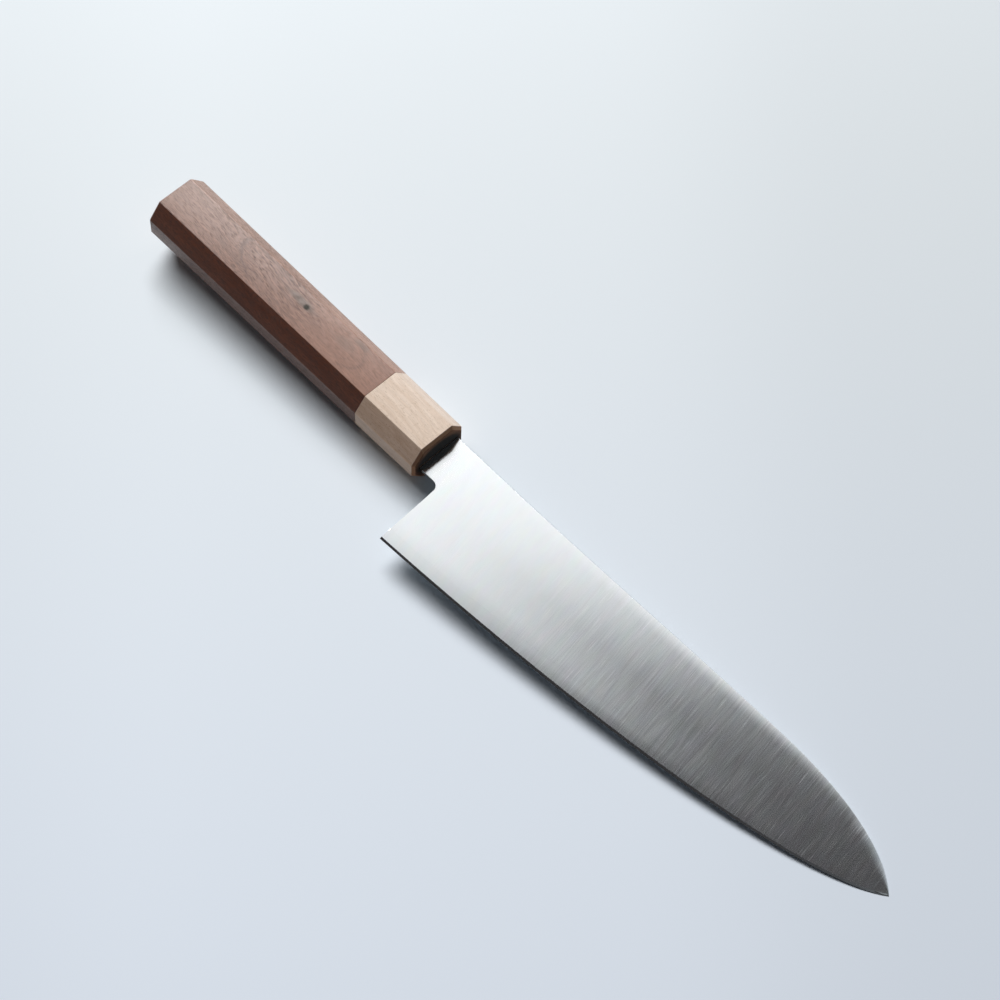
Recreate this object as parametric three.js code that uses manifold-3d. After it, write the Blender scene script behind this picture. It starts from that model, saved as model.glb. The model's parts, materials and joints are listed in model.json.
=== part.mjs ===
// Gyuto knife with a laminated blade and an octagonal wooden handle, lying on its left side as on a table.
// Sizes are millimetres and degrees. In the knife's own group +X runs along the handle's axis towards the tip, +Y
// towards the spine and +Z out of the right face, and the origin is on that axis in the ferrule's front face.

import * as THREE from "three";
import { mergeVertices } from "three/addons/utils/BufferGeometryUtils.js";
import Module from "manifold-3d";

const wasm = await Module();
wasm.setup();

// Blade outline, seen from its right side
const edgeLength = 210; // heel to tip, straight across
const heelHeight = 46.6; // spine line to heel
const heelSetback = 11.1; // ferrule's face to heel
const neckHeight = 18; // spine line to the underside of the neck
const choilFillet = 3; // radius between neck and choil
const choilLean = 2.4; // how far the choil leans towards the tip
const tipDrop = 13.6; // spine line at the neck down to the tip
const crestRise = 2.3; // spine line at the neck up to the spine's highest point
const crestToTip = 64.7; // the spine's highest point to the tip, along X
const crestSlope = 0.6;

// Directions and pulls of the curves that draw the edge and the spine
const edgeHeelAngle = 2.3;
const edgeHeelPull = 59;
const edgeTipAngle = 36.3;
const edgeTipPull = 36.2;
const spineNeckPull = 70;
const spineCrestRearPull = 64;
const spineCrestFrontPull = 20.8;
const spineTipAngle = 44.3;
const spineTipPull = 19.6;

// Blade cross-section: a core between two claddings, ground convex down to the cutting bevel
const stockThickness = 2;
const coreThickness = 0.7;
const weldLine = 0.02; // between core and cladding
const tipThickness = 1; // of the flats, if they ran on to the tip
const grindHeight = 28; // edge up to the flats
const grindCurve = 1.6; // 1 is a flat grind, more is convex
const bevelHeight = 0.9;
const shoulderThickness = 0.36; // at the top of the cutting bevel
const edgeThickness = 0.05; // at the cutting edge

// Tang, hidden in the handle
const shoulderDepth = 6; // how far the full neck goes into the ferrule
const shoulderSlope = 1.5;
const tangLength = 82; // behind the shoulder
const tangRootHeight = 9;
const tangEndHeight = 6.5;

// Handle: an octagon that tapers from the butt to the ferrule's face
const ferruleLength = 30;
const gripLength = 110;
const frontMargin = 2.85; // wood above and below the neck
const frontThickness = 18.7;
const frontBevelHeight = 4.8;
const frontBevelThickness = 6;
const buttHeight = 25.3;
const buttThickness = 20.1;
const buttBevelHeight = 5.3;
const buttBevelThickness = 6.4;
const ferruleChamfer = 1.2;
const buttChamfer = 0.6;

// Joinery
const glueGap = 0.1; // glue line between two pieces
const beddingWall = 0.5; // resin round the tang's root
const dowelWall = 1.2; // wood round the dowel's slot
const dowelEndWall = 6; // wood behind the dowel's slot
const dowelSetback = 0.5; // tang's root to the front of the dowel
const sealWidth = 0.9;
const sealDepth = 1.5;

// How finely curves are cut
const curveSteps = 16;
const roundSides = 32;
const grindRows = 5;

// Places that follow from the sizes
const radians = THREE.MathUtils.degToRad;
const spineY = neckHeight / 2;
const neckUnderY = -neckHeight / 2;
const heel = new THREE.Vector2(heelSetback, spineY - heelHeight);
const tipY = spineY - tipDrop;
const tip = new THREE.Vector2(heel.x + Math.sqrt(edgeLength ** 2 - (tipY - heel.y) ** 2), tipY);
const crest = new THREE.Vector2(tip.x - crestToTip, spineY + crestRise);
const shoulderX = -shoulderDepth;
const tangRootX = shoulderX - shoulderSlope;
const tangEndX = tangRootX - tangLength;
const jointX = -ferruleLength;
const gripFrontX = jointX - glueGap;
const buttX = gripFrontX - gripLength;
const beddingEndX = tangEndX - glueGap - beddingWall;
const dowelSlotEndX = beddingEndX - glueGap;
const dowelFrontX = tangRootX - dowelSetback;
const dowelEndX = dowelSlotEndX - dowelEndWall;
const beddingHeight = tangRootHeight + 2 * (glueGap + beddingWall);
const beddingThickness = stockThickness + 2 * (glueGap + beddingWall);
const dowelSlotHeight = beddingHeight + 2 * glueGap;
const dowelSlotThickness = beddingThickness + 2 * glueGap;
const dowelRadius = Math.hypot(dowelSlotHeight, dowelSlotThickness) / 2 + dowelWall;
const boreRadius = dowelRadius + glueGap;
const cutMargin = 1; // how far a cutting shape runs past the face that it opens

const steel = { roughness: 0.32, metalness: 1, flatShading: true };
const wood = { roughness: 0.6, metalness: 0, flatShading: true };
const materials = {
  core: new THREE.MeshStandardMaterial({ color: 0xb4b7b9, ...steel }),
  cladding: new THREE.MeshStandardMaterial({ color: 0xc3c5c6, ...steel }),
  ferrule: new THREE.MeshStandardMaterial({ color: 0xe0ccb6, ...wood }),
  grip: new THREE.MeshStandardMaterial({ color: 0x83604f, ...wood }),
  dowel: new THREE.MeshStandardMaterial({ color: 0xcdb38c, ...wood }),
  bedding: new THREE.MeshStandardMaterial({ color: 0x8f7a5a, roughness: 0.5, metalness: 0, flatShading: true }),
  seal: new THREE.MeshStandardMaterial({ color: 0x1f1a16, roughness: 0.7, metalness: 0, flatShading: true }),
};

// A closed geometry as a solid that can be cut and joined.
function solidOf(geometry) {
  geometry.deleteAttribute("normal");
  geometry.deleteAttribute("uv");
  const merged = mergeVertices(geometry);
  const vertProperties = merged.attributes.position.array;
  const triVerts = new Uint32Array(merged.index.array);
  return new wasm.Manifold(new wasm.Mesh({ numProp: 3, vertProperties, triVerts }));
}

// A named mesh of a solid.
function meshOf(name, solid, material) {
  const cut = solid.getMesh();
  const geometry = new THREE.BufferGeometry();
  geometry.setAttribute("position", new THREE.BufferAttribute(cut.vertProperties, 3));
  geometry.setIndex(new THREE.BufferAttribute(cut.triVerts, 1));
  geometry.computeVertexNormals();
  const mesh = new THREE.Mesh(geometry, material);
  mesh.name = name;
  return mesh;
}

// A solid skinned over convex rings that follow each other along +X, each turning from +Y towards +Z.
function loft(rings) {
  const sides = rings[0].length;
  const last = (rings.length - 1) * sides;
  const index = [];
  for (let i = 0; i < rings.length - 1; i++) {
    for (let j = 0; j < sides; j++) {
      const a = i * sides + j;
      const b = i * sides + ((j + 1) % sides);
      index.push(a, b, b + sides, a, b + sides, a + sides);
    }
  }
  for (let j = 1; j < sides - 1; j++) {
    index.push(0, j + 1, j, last, last + j, last + j + 1);
  }
  const geometry = new THREE.BufferGeometry().setFromPoints(rings.flat());
  geometry.setIndex(index);
  return solidOf(geometry);
}

// A box between two places along X, centred on the axis in Y and Z.
function bar(fromX, toX, height, thickness) {
  const geometry = new THREE.BoxGeometry(Math.abs(toX - fromX), height, thickness);
  geometry.translate((fromX + toX) / 2, 0, 0);
  return solidOf(geometry);
}

// A round rod along the axis.
function rod(fromX, toX, radius) {
  const geometry = new THREE.CylinderGeometry(radius, radius, Math.abs(toX - fromX), roundSides);
  geometry.rotateZ(Math.PI / 2);
  geometry.translate((fromX + toX) / 2, 0, 0);
  return solidOf(geometry);
}

// A place at a distance and an angle from another one.
function pulled(from, degrees, distance) {
  const angle = radians(degrees);
  return new THREE.Vector2(from.x + distance * Math.cos(angle), from.y + distance * Math.sin(angle));
}

const edgeCurve = new THREE.CubicBezierCurve(
  heel,
  pulled(heel, edgeHeelAngle, edgeHeelPull),
  pulled(tip, edgeTipAngle, -edgeTipPull),
  tip,
);
const spineFrontCurve = new THREE.CubicBezierCurve(
  tip,
  pulled(tip, -spineTipAngle, -spineTipPull),
  pulled(crest, crestSlope, spineCrestFrontPull),
  crest,
);
const spineRearCurve = new THREE.CubicBezierCurve(
  crest,
  pulled(crest, crestSlope, -spineCrestRearPull),
  new THREE.Vector2(spineNeckPull, spineY),
  new THREE.Vector2(0, spineY),
);

// The outline that the blade, its neck and its tang are cut to.
function bladePlan() {
  const lean = radians(choilLean);
  const filletY = neckUnderY - choilFillet;
  const filletX = heel.x + ((heel.y - filletY) * Math.sin(lean) - choilFillet) / Math.cos(lean);
  const plan = new THREE.Shape();
  plan.moveTo(tangEndX, -tangEndHeight / 2);
  plan.lineTo(tangRootX, -tangRootHeight / 2);
  plan.lineTo(shoulderX, neckUnderY);
  plan.absarc(filletX, filletY, choilFillet, Math.PI / 2, lean, true);
  plan.lineTo(heel.x, heel.y);
  for (const curve of [edgeCurve, spineFrontCurve, spineRearCurve]) {
    plan.bezierCurveTo(curve.v1.x, curve.v1.y, curve.v2.x, curve.v2.y, curve.v3.x, curve.v3.y);
  }
  plan.lineTo(shoulderX, spineY);
  plan.lineTo(tangRootX, tangRootHeight / 2);
  plan.lineTo(tangEndX, tangEndHeight / 2);
  return plan;
}

// A flat plate of the blade's outline between two heights.
function plate(lowZ, highZ) {
  const geometry = new THREE.ExtrudeGeometry(bladePlan(), {
    depth: highZ - lowZ,
    bevelEnabled: false,
    curveSegments: curveSteps,
  });
  geometry.translate(0, 0, lowZ);
  return solidOf(geometry);
}

// Half the blade's thickness at a height over the cutting edge, where the stock is not thinned towards the tip.
function halfThickness(overEdge) {
  const share = Math.min((overEdge - bevelHeight) / (grindHeight - bevelHeight), 1);
  const swell = 1 - (1 - share) ** grindCurve;
  return (shoulderThickness + (stockThickness - shoulderThickness) * swell) / 2;
}

// The wedge that grinding leaves: it follows the edge, thins towards the tip and takes in the tang.
function groundWedge() {
  const overshoot = (edgeThickness * bevelHeight) / (shoulderThickness - edgeThickness);
  const top = heelHeight + crestRise + tipDrop;
  const heights = [];
  for (let i = 0; i <= grindRows; i++) {
    heights.push(bevelHeight + (grindHeight - bevelHeight) * (i / grindRows) ** 2);
  }
  heights.push(Math.max(top, grindHeight + cutMargin));

  const line = edgeCurve.getPoints(2 * curveSteps);
  line.unshift(pulled(heel, edgeHeelAngle, tangEndX - heel.x - cutMargin));
  line.push(pulled(tip, edgeTipAngle, cutMargin));
  const rings = line.map((place) => {
    const run = THREE.MathUtils.clamp((place.x - heel.x) / (tip.x - heel.x), 0, 1);
    const thinning = THREE.MathUtils.lerp(1, tipThickness / stockThickness, run);
    const side = (over, sign) => {
      return new THREE.Vector3(place.x, place.y + over, sign * thinning * halfThickness(over));
    };
    const left = heights.map((over) => side(over, -1));
    const right = heights.map((over) => side(over, 1)).reverse();
    return [new THREE.Vector3(place.x, place.y - overshoot, 0), ...left, ...right];
  });
  return loft(rings);
}

// The handle's octagon at a place along the axis.
function octagon(x) {
  const toButt = x / buttX;
  const halfHeight = THREE.MathUtils.lerp(neckHeight + 2 * frontMargin, buttHeight, toButt) / 2;
  const halfThick = THREE.MathUtils.lerp(frontThickness, buttThickness, toButt) / 2;
  const flatY = halfHeight - THREE.MathUtils.lerp(frontBevelHeight, buttBevelHeight, toButt);
  const flatZ = halfThick - THREE.MathUtils.lerp(frontBevelThickness, buttBevelThickness, toButt);
  const quarter = [
    [halfHeight, flatZ],
    [flatY, halfThick],
  ];
  const back = quarter.map(([y, z]) => [-y, z]).reverse();
  const upper = [...quarter, ...back];
  const lower = upper.map(([y, z]) => [-y, -z]);
  return [...upper, ...lower].map(([y, z]) => new THREE.Vector3(x, y, z));
}

// A ring drawn in by the same distance on every side.
function drawnIn(ring, distance) {
  const sides = ring.length;
  return ring.map((corner, i) => {
    const before = corner.clone().sub(ring[(i + sides - 1) % sides]).normalize();
    const after = ring[(i + 1) % sides].clone().sub(corner).normalize();
    const inward = after.clone().sub(before);
    const turn = before.angleTo(after);
    return corner.clone().addScaledVector(inward.normalize(), distance / Math.cos(turn / 2));
  });
}

function ferruleSolid() {
  const block = loft([octagon(jointX), octagon(-ferruleChamfer), drawnIn(octagon(0), ferruleChamfer)]);
  const bore = rod(jointX - cutMargin, dowelFrontX + glueGap, boreRadius);
  const slot = bar(dowelFrontX, cutMargin, neckHeight + 2 * glueGap, stockThickness + 2 * glueGap);
  const recessRim = 2 * (sealWidth + 2 * glueGap);
  const recess = bar(-sealDepth - glueGap, cutMargin, neckHeight + recessRim, stockThickness + recessRim);
  return block.subtract(bore).subtract(slot).subtract(recess);
}

function gripSolid() {
  const butt = drawnIn(octagon(buttX), buttChamfer);
  const block = loft([butt, octagon(buttX + buttChamfer), octagon(gripFrontX)]);
  return block.subtract(rod(dowelEndX - glueGap, gripFrontX + cutMargin, boreRadius));
}

function dowelSolid() {
  const slot = bar(dowelSlotEndX, dowelFrontX + cutMargin, dowelSlotHeight, dowelSlotThickness);
  return rod(dowelEndX, dowelFrontX, dowelRadius).subtract(slot);
}

// The tang with a glue line all round, as the space that the bedding leaves for it.
function tangSpace() {
  const taper = (tangRootHeight - tangEndHeight) / tangLength;
  const ring = (x, height) => {
    const y = height / 2 + glueGap;
    const z = stockThickness / 2 + glueGap;
    const corners = [[y, -z], [y, z], [-y, z], [-y, -z]];
    return corners.map((corner) => new THREE.Vector3(x, ...corner));
  };
  const frontX = dowelFrontX + cutMargin;
  const frontHeight = tangEndHeight + taper * (frontX - tangEndX);
  return loft([ring(tangEndX - glueGap, tangEndHeight), ring(frontX, frontHeight)]);
}

function beddingSolid() {
  return bar(beddingEndX, dowelFrontX, beddingHeight, beddingThickness).subtract(tangSpace());
}

function sealSolid() {
  const rim = 2 * (sealWidth + glueGap);
  const outside = bar(-sealDepth, 0, neckHeight + rim, stockThickness + rim);
  const inside = bar(-sealDepth - cutMargin, cutMargin, neckHeight + 2 * glueGap, stockThickness + 2 * glueGap);
  return outside.subtract(inside);
}

const wedge = groundWedge();
const claddingInside = coreThickness / 2 + weldLine;
const blade = new THREE.Group();
blade.add(
  meshOf("blade_core", plate(-coreThickness / 2, coreThickness / 2).intersect(wedge), materials.core),
  meshOf("right_cladding", plate(claddingInside, stockThickness).intersect(wedge), materials.cladding),
  meshOf("left_cladding", plate(-stockThickness, -claddingInside).intersect(wedge), materials.cladding),
);

const handle = new THREE.Group();
handle.add(
  meshOf("ferrule", ferruleSolid(), materials.ferrule),
  meshOf("handle_body", gripSolid(), materials.grip),
  meshOf("joining_dowel", dowelSolid(), materials.dowel),
  meshOf("tang_bedding", beddingSolid(), materials.bedding),
  meshOf("neck_seal", sealSolid(), materials.seal),
);

// The pitch at which the knife, lying on the ferrule's lower front edge, first touches the table with the blade.
function restPitch() {
  const restEdge = octagon(-ferruleChamfer).reduce((lowest, place) => (place.z < lowest.z ? place : lowest));
  const corner = new THREE.Vector3();
  let pitch = Math.PI / 2;
  for (const layer of blade.children) {
    const places = layer.geometry.attributes.position;
    for (let i = 0; i < places.count; i++) {
      corner.fromBufferAttribute(places, i);
      if (corner.x > heel.x) {
        pitch = Math.min(pitch, Math.atan2(corner.z - restEdge.z, corner.x - restEdge.x));
      }
    }
  }
  return pitch;
}

const knife = new THREE.Group();
knife.add(blade, handle);
knife.rotation.y = restPitch();

// The part's own origin is at the middle of the box round the resting knife, on the table.
const part = new THREE.Group();
part.add(knife);
part.updateMatrixWorld(true);
const box = new THREE.Box3().setFromObject(part, true);
const middle = box.getCenter(new THREE.Vector3());
knife.position.set(-middle.x, -middle.y, -box.min.z);

export default part;
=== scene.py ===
"""A gyuto knife lying on a pale table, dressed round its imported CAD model.

Meshes are drawn in the knife's own axes, in millimetres: +X along the handle to the tip, +Y to the spine and
+Z out of the right face, with the origin on the handle's axis in the ferrule's front face. Each finished mesh
is then carried into the model's frame, in metres.
"""

import json
import logging
import math
from dataclasses import dataclass, field, replace
from enum import Enum

import bmesh
import bpy
from mathutils import Euler, Matrix, Vector


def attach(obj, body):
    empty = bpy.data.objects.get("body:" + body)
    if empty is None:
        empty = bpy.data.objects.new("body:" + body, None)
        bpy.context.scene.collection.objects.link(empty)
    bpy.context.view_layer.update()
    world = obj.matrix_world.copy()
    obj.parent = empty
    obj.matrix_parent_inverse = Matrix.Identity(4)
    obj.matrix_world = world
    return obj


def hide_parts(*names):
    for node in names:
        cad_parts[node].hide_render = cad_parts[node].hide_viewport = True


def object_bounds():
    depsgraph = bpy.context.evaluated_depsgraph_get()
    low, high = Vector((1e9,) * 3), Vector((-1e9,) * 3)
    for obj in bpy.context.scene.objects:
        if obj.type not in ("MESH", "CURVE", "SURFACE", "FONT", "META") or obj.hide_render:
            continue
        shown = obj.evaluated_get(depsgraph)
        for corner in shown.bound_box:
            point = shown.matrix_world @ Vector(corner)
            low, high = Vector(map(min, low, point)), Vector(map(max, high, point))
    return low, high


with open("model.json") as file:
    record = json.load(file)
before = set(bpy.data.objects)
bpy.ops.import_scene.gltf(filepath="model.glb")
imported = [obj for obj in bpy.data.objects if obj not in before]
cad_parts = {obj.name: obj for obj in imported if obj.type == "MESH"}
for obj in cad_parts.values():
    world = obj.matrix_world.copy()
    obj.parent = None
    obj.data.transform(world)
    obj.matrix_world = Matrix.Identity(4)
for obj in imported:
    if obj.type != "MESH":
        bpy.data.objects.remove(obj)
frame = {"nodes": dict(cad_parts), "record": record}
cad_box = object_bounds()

MILLIMETRE = 0.001
BODY = "root"
PLAN_MAP = "plan"
BEVEL_MASK = "cutting_bevel"
HALVINGS = 40
MERGE_DISTANCE = 0.0005  # in millimetres
SHARP_ANGLE = math.radians(32.0)
NOISE_MIDDLE = 0.5  # what Blender's noise wavers about
FLOAT = "NodeSocketFloat"
VECTOR = "NodeSocketVector"
COLOUR = "NodeSocketColor"
Colour = tuple[float, float, float]
Ring = list[Vector]
WHITE: Colour = (1.0, 1.0, 1.0)
log = logging.getLogger("gyuto")


class Side(Enum):
    """The blade's two faces, by the direction that each looks along Z."""

    RIGHT = 1
    LEFT = -1


@dataclass(frozen=True)
class KnifeAxes:
    """Where the knife's own axes lie in the model's frame.

    The origin is in metres, and the pitch lowers the tip.
    """

    origin: Vector
    pitch: float

    @classmethod
    def from_record(cls, record: dict, butt_reach: float) -> "KnifeAxes":
        """Reads the axes off the butt face, which is square to the handle.

        Args:
            record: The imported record, which names the butt face as a mount.
            butt_reach: How far the butt lies behind the ferrule's front face, in millimetres.

        Returns:
            The knife's axes.
        """
        butt = next(mount for mount in record["mounts"] if mount["name"] == "butt_face")
        outward = Vector(butt["axis"])
        origin = Vector(butt["pos_m"]) - outward * butt_reach * MILLIMETRE
        return cls(origin, math.asin(outward.z))

    def to_model(self) -> Matrix:
        """The matrix from the knife's millimetres to the model's metres."""
        turn = Matrix.Rotation(self.pitch, 4, "Y")
        return Matrix.Translation(self.origin) @ turn @ Matrix.Scale(MILLIMETRE, 4)

    def to_knife(self) -> tuple[Vector, Euler, Vector]:
        """The way back, for a Mapping node from the model's metres to the knife's millimetres.

        Returns:
            The node's place, turn and scale.
        """
        turn = Euler((0.0, -self.pitch, 0.0))
        place = -(turn.to_matrix() @ self.origin) / MILLIMETRE
        return place, turn, Vector((1.0, 1.0, 1.0)) / MILLIMETRE


class Signal:
    """A number that changes over a mesh: a node's output, with arithmetic that adds Math nodes."""

    def __init__(self, graph: "Graph", socket: bpy.types.NodeSocket) -> None:
        """Holds a node's output and the graph that it belongs to."""
        self.graph = graph
        self.socket = socket

    def call(self, operation: str, *others: "Signal | float") -> "Signal":
        """Adds a Math node on this number and up to two others.

        Args:
            operation: The node's operation, by its name.
            *others: The numbers that go with this one.

        Returns:
            The result.
        """
        node = self.graph.node("ShaderNodeMath", operation=operation)
        for socket, value in zip(node.inputs, (self, *others)):
            self.graph.feed(socket, value)
        return Signal(self.graph, node.outputs[0])

    def __add__(self, other: "Signal | float") -> "Signal":
        """Adds a number."""
        return self.call("ADD", other)

    def __sub__(self, other: "Signal | float") -> "Signal":
        """Takes a number away."""
        return self.call("SUBTRACT", other)

    def __mul__(self, other: "Signal | float") -> "Signal":
        """Multiplies by a number."""
        return self.call("MULTIPLY", other)

    def __truediv__(self, other: "Signal | float") -> "Signal":
        """Divides by a number."""
        return self.call("DIVIDE", other)

    def __abs__(self) -> "Signal":
        """Drops the sign."""
        return self.call("ABSOLUTE")

    def times_plus(self, factor: "Signal | float", rest: "Signal | float") -> "Signal":
        """Multiplies by a factor, then adds the rest."""
        return self.call("MULTIPLY_ADD", factor, rest)

    def ramp(self, low: "Signal | float", high: "Signal | float") -> "Signal":
        """A smooth step from 0 to 1.

        Args:
            low: Where the step is 0.
            high: Where it is 1. It may lie below the other end.

        Returns:
            The step.
        """
        node = self.graph.node("ShaderNodeMapRange", interpolation_type="SMOOTHSTEP")
        for name, value in (("Value", self), ("From Min", low), ("From Max", high)):
            self.graph.feed(node.inputs[name], value)
        return Signal(self.graph, node.outputs[0])


class Graph:
    """Adds nodes to a tree and joins them."""

    def __init__(self, tree: bpy.types.NodeTree) -> None:
        """Works on a shader or geometry tree."""
        self.tree = tree

    def node(self, kind: str, **settings: object) -> bpy.types.Node:
        """Adds a node.

        Args:
            kind: The node's type.
            **settings: The node's properties.

        Returns:
            The node.
        """
        node = self.tree.nodes.new(kind)
        for name, value in settings.items():
            setattr(node, name, value)
        return node

    def feed(self, socket: bpy.types.NodeSocket, value: object) -> None:
        """Links something to an input, or sets the input.

        Args:
            socket: The input.
            value: A signal or a socket to link, or a plain value.
        """
        if isinstance(value, Signal):
            self.tree.links.new(value.socket, socket)
        elif isinstance(value, bpy.types.NodeSocket):
            self.tree.links.new(value, socket)
        else:
            socket.default_value = value

    def output(
        self, kind: str, feeds: dict[str | int, object], output: int | str = 0, **settings: object
    ) -> Signal:
        """Adds a node, feeds its inputs and gives one of its outputs.

        Args:
            kind: The node's type.
            feeds: What goes into each input, by its name or number.
            output: Which output to give, by its name or number.
            **settings: The node's properties.

        Returns:
            The output, as a signal.
        """
        node = self.node(kind, **settings)
        for name, value in feeds.items():
            self.feed(node.inputs[name], value)
        return Signal(self, node.outputs[output])

    def shader(self) -> bpy.types.Node:
        """The tree's own surface or background shader."""
        return next(node for node in self.tree.nodes if node.type in ("BSDF_PRINCIPLED", "BACKGROUND"))

    def split(self, vector: Signal) -> tuple[Signal, Signal, Signal]:
        """Takes a vector apart.

        Args:
            vector: The vector.

        Returns:
            Its three parts.
        """
        node = self.node("ShaderNodeSeparateXYZ")
        self.feed(node.inputs[0], vector)
        return tuple(Signal(self, socket) for socket in node.outputs)

    def join(self, x: Signal | float, y: Signal | float, z: Signal | float) -> Signal:
        """A vector of three parts."""
        return self.output("ShaderNodeCombineXYZ", {"X": x, "Y": y, "Z": z})

    def noise(self, vector: Signal, scale: float, detail: float = 2.0, roughness: float = 0.5) -> Signal:
        """Cloudy noise about 0.5 that repeats nowhere."""
        feeds = {"Vector": vector, "Scale": scale, "Detail": detail, "Roughness": roughness}
        return self.output("ShaderNodeTexNoise", feeds)

    def blend(self, share: Signal | float, first: object, second: object) -> Signal:
        """A colour between two.

        Args:
            share: How far it lies from the first to the second, from 0 to 1.
            first: A colour, or a signal that carries one.
            second: The same.

        Returns:
            The colour.
        """
        node = self.node("ShaderNodeMix", data_type="RGBA")
        colour_sockets = [socket for socket in node.inputs if socket.type == "RGBA"]
        self.feed(node.inputs[0], share)
        for socket, value in zip(colour_sockets, (first, second)):
            self.feed(socket, opaque(value) if isinstance(value, tuple) else value)
        return Signal(self, next(socket for socket in node.outputs if socket.type == "RGBA"))

    def multiplied(self, colour: object, factor: object) -> Signal:
        """A colour times another one."""
        return self.output("ShaderNodeVectorMath", {0: colour, 1: factor}, operation="MULTIPLY")

    def scaled(self, colour: object, factor: Signal) -> Signal:
        """A colour times a number."""
        return self.output("ShaderNodeVectorMath", {0: colour, "Scale": factor}, operation="SCALE")


def opaque(colour: Colour) -> tuple[float, float, float, float]:
    """A colour with full alpha."""
    return (*colour, 1.0)


def new_group(
    name: str, kind: str, inputs: dict[str, str], outputs: dict[str, str]
) -> tuple[Graph, dict[str, Signal]]:
    """Starts a node group.

    Args:
        name: The group's name.
        kind: The tree's type.
        inputs: The type of each named input.
        outputs: The type of each named output.

    Returns:
        The graph to fill, and its inputs by name, as signals.
    """
    tree = bpy.data.node_groups.new(name, kind)
    for in_out, sockets in (("INPUT", inputs), ("OUTPUT", outputs)):
        for label, socket_type in sockets.items():
            tree.interface.new_socket(label, in_out=in_out, socket_type=socket_type)
    graph = Graph(tree)
    entry = graph.node("NodeGroupInput")
    signals = {socket.name: Signal(graph, socket) for socket in entry.outputs if socket.name}
    return graph, signals


def close_group(graph: Graph, results: dict[str, Signal]) -> bpy.types.NodeTree:
    """Feeds a node group's outputs.

    Args:
        graph: The group's graph.
        results: What goes to each named output.

    Returns:
        The finished tree.
    """
    end = graph.node("NodeGroupOutput")
    for label, signal in results.items():
        graph.feed(end.inputs[label], signal)
    return graph.tree


class Effects:
    """Shader effects that more than one finish uses, each built once as a node group."""

    SWAY_SCALE = 0.035
    RIPPLE_SCALE = 0.19
    RIPPLE_SHARE = 0.12
    GRAIN_ROUGHNESS = 0.6
    STREAK_RANGE = (0.28, 0.72)
    FIBRE_LENGTH = 3.0
    FIBRE_WIDTH = 1.5
    FEWEST_PORES = 0.72
    PORE_REACH = 0.4
    PORE_SOFTNESS = 0.1
    BROAD_STRETCH = (3.5, 1.6)
    BROAD_SHARE = 0.35
    SCRATCH_STRETCH = (1.1, 0.7)
    SCRATCH_RANGE = (0.66, 0.8)
    FILM_STRETCH = (8.0, 0.6)

    def __init__(self) -> None:
        """Builds the groups."""
        self.wood_grain = self._wood_grain()
        self.satin_lines = self._satin_lines()

    def _wood_grain(self) -> bpy.types.NodeTree:
        """Long wavy streaks, fine fibres and short open pores along X.

        Its lengths and widths are in the units of its vector.

        Returns:
            The group's tree.
        """
        inputs = {
            "Vector": VECTOR,
            "Streak Length": FLOAT,
            "Streak Width": FLOAT,
            "Pore Length": FLOAT,
            "Pore Width": FLOAT,
            "Pore Share": FLOAT,
            "Waviness": FLOAT,
            "Lean": FLOAT,
        }
        outputs = {"Streaks": FLOAT, "Fibres": FLOAT, "Pores": FLOAT}
        graph, given = new_group("wood_grain", "ShaderNodeTree", inputs, outputs)
        x, y, z = graph.split(given["Vector"])
        sway = graph.noise(given["Vector"], scale=self.SWAY_SCALE, detail=1.0) - NOISE_MIDDLE
        ripple = graph.noise(given["Vector"], scale=self.RIPPLE_SCALE, detail=2.0) - NOISE_MIDDLE
        waves = ripple * self.RIPPLE_SHARE + sway
        grain_y = waves.times_plus(given["Waviness"], y) + x * given["Lean"]

        def drawn_out(length: Signal, width: Signal, detail: float) -> Signal:
            """Noise drawn out along the grain."""
            stretched = graph.join(x / length, grain_y / width, z / width)
            return graph.noise(stretched, scale=1.0, detail=detail, roughness=self.GRAIN_ROUGHNESS)

        pore_length, pore_width = given["Pore Length"], given["Pore Width"]
        streaks = drawn_out(given["Streak Length"], given["Streak Width"], 3.0)
        threshold = given["Pore Share"].times_plus(-self.PORE_REACH, self.FEWEST_PORES)
        pores = drawn_out(pore_length, pore_width, 1.0)
        results = {
            "Streaks": streaks.ramp(*self.STREAK_RANGE),
            "Fibres": drawn_out(pore_length * self.FIBRE_LENGTH, pore_width * self.FIBRE_WIDTH, 1.0),
            "Pores": pores.ramp(threshold, threshold + self.PORE_SOFTNESS),
        }
        return close_group(graph, results)

    def _satin_lines(self) -> bpy.types.NodeTree:
        """Straight lines from spine to edge that a belt leaves, a few clear scratches and a film of tints.

        Returns:
            The group's tree.
        """
        inputs = {"Vector": VECTOR, "Line Length": FLOAT, "Line Width": FLOAT, "Lean": FLOAT}
        outputs = {"Lines": FLOAT, "Scratches": FLOAT, "Film": COLOUR}
        graph, given = new_group("satin_lines", "ShaderNodeTree", inputs, outputs)
        x, y, _ = graph.split(given["Vector"])
        across = y.times_plus(given["Lean"], x) / given["Line Width"]
        along = y / given["Line Length"]

        def drawn_out(widen: float, lengthen: float) -> Signal:
            """Where noise drawn out along the lines is read."""
            return graph.join(across / widen, along / lengthen, 0.0)

        fine = graph.noise(drawn_out(1.0, 1.0), scale=1.0, detail=1.0)
        broad = graph.noise(drawn_out(*self.BROAD_STRETCH), scale=1.0, detail=1.0)
        scratches = graph.noise(drawn_out(*self.SCRATCH_STRETCH), scale=1.0, detail=0.0)
        tints = {"Vector": drawn_out(*self.FILM_STRETCH), "Scale": 1.0, "Detail": 1.0}
        results = {
            "Lines": fine * (1.0 - self.BROAD_SHARE) + broad * self.BROAD_SHARE,
            "Scratches": scratches.ramp(*self.SCRATCH_RANGE),
            "Film": graph.output("ShaderNodeTexNoise", tints, "Color"),
        }
        return close_group(graph, results)


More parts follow.
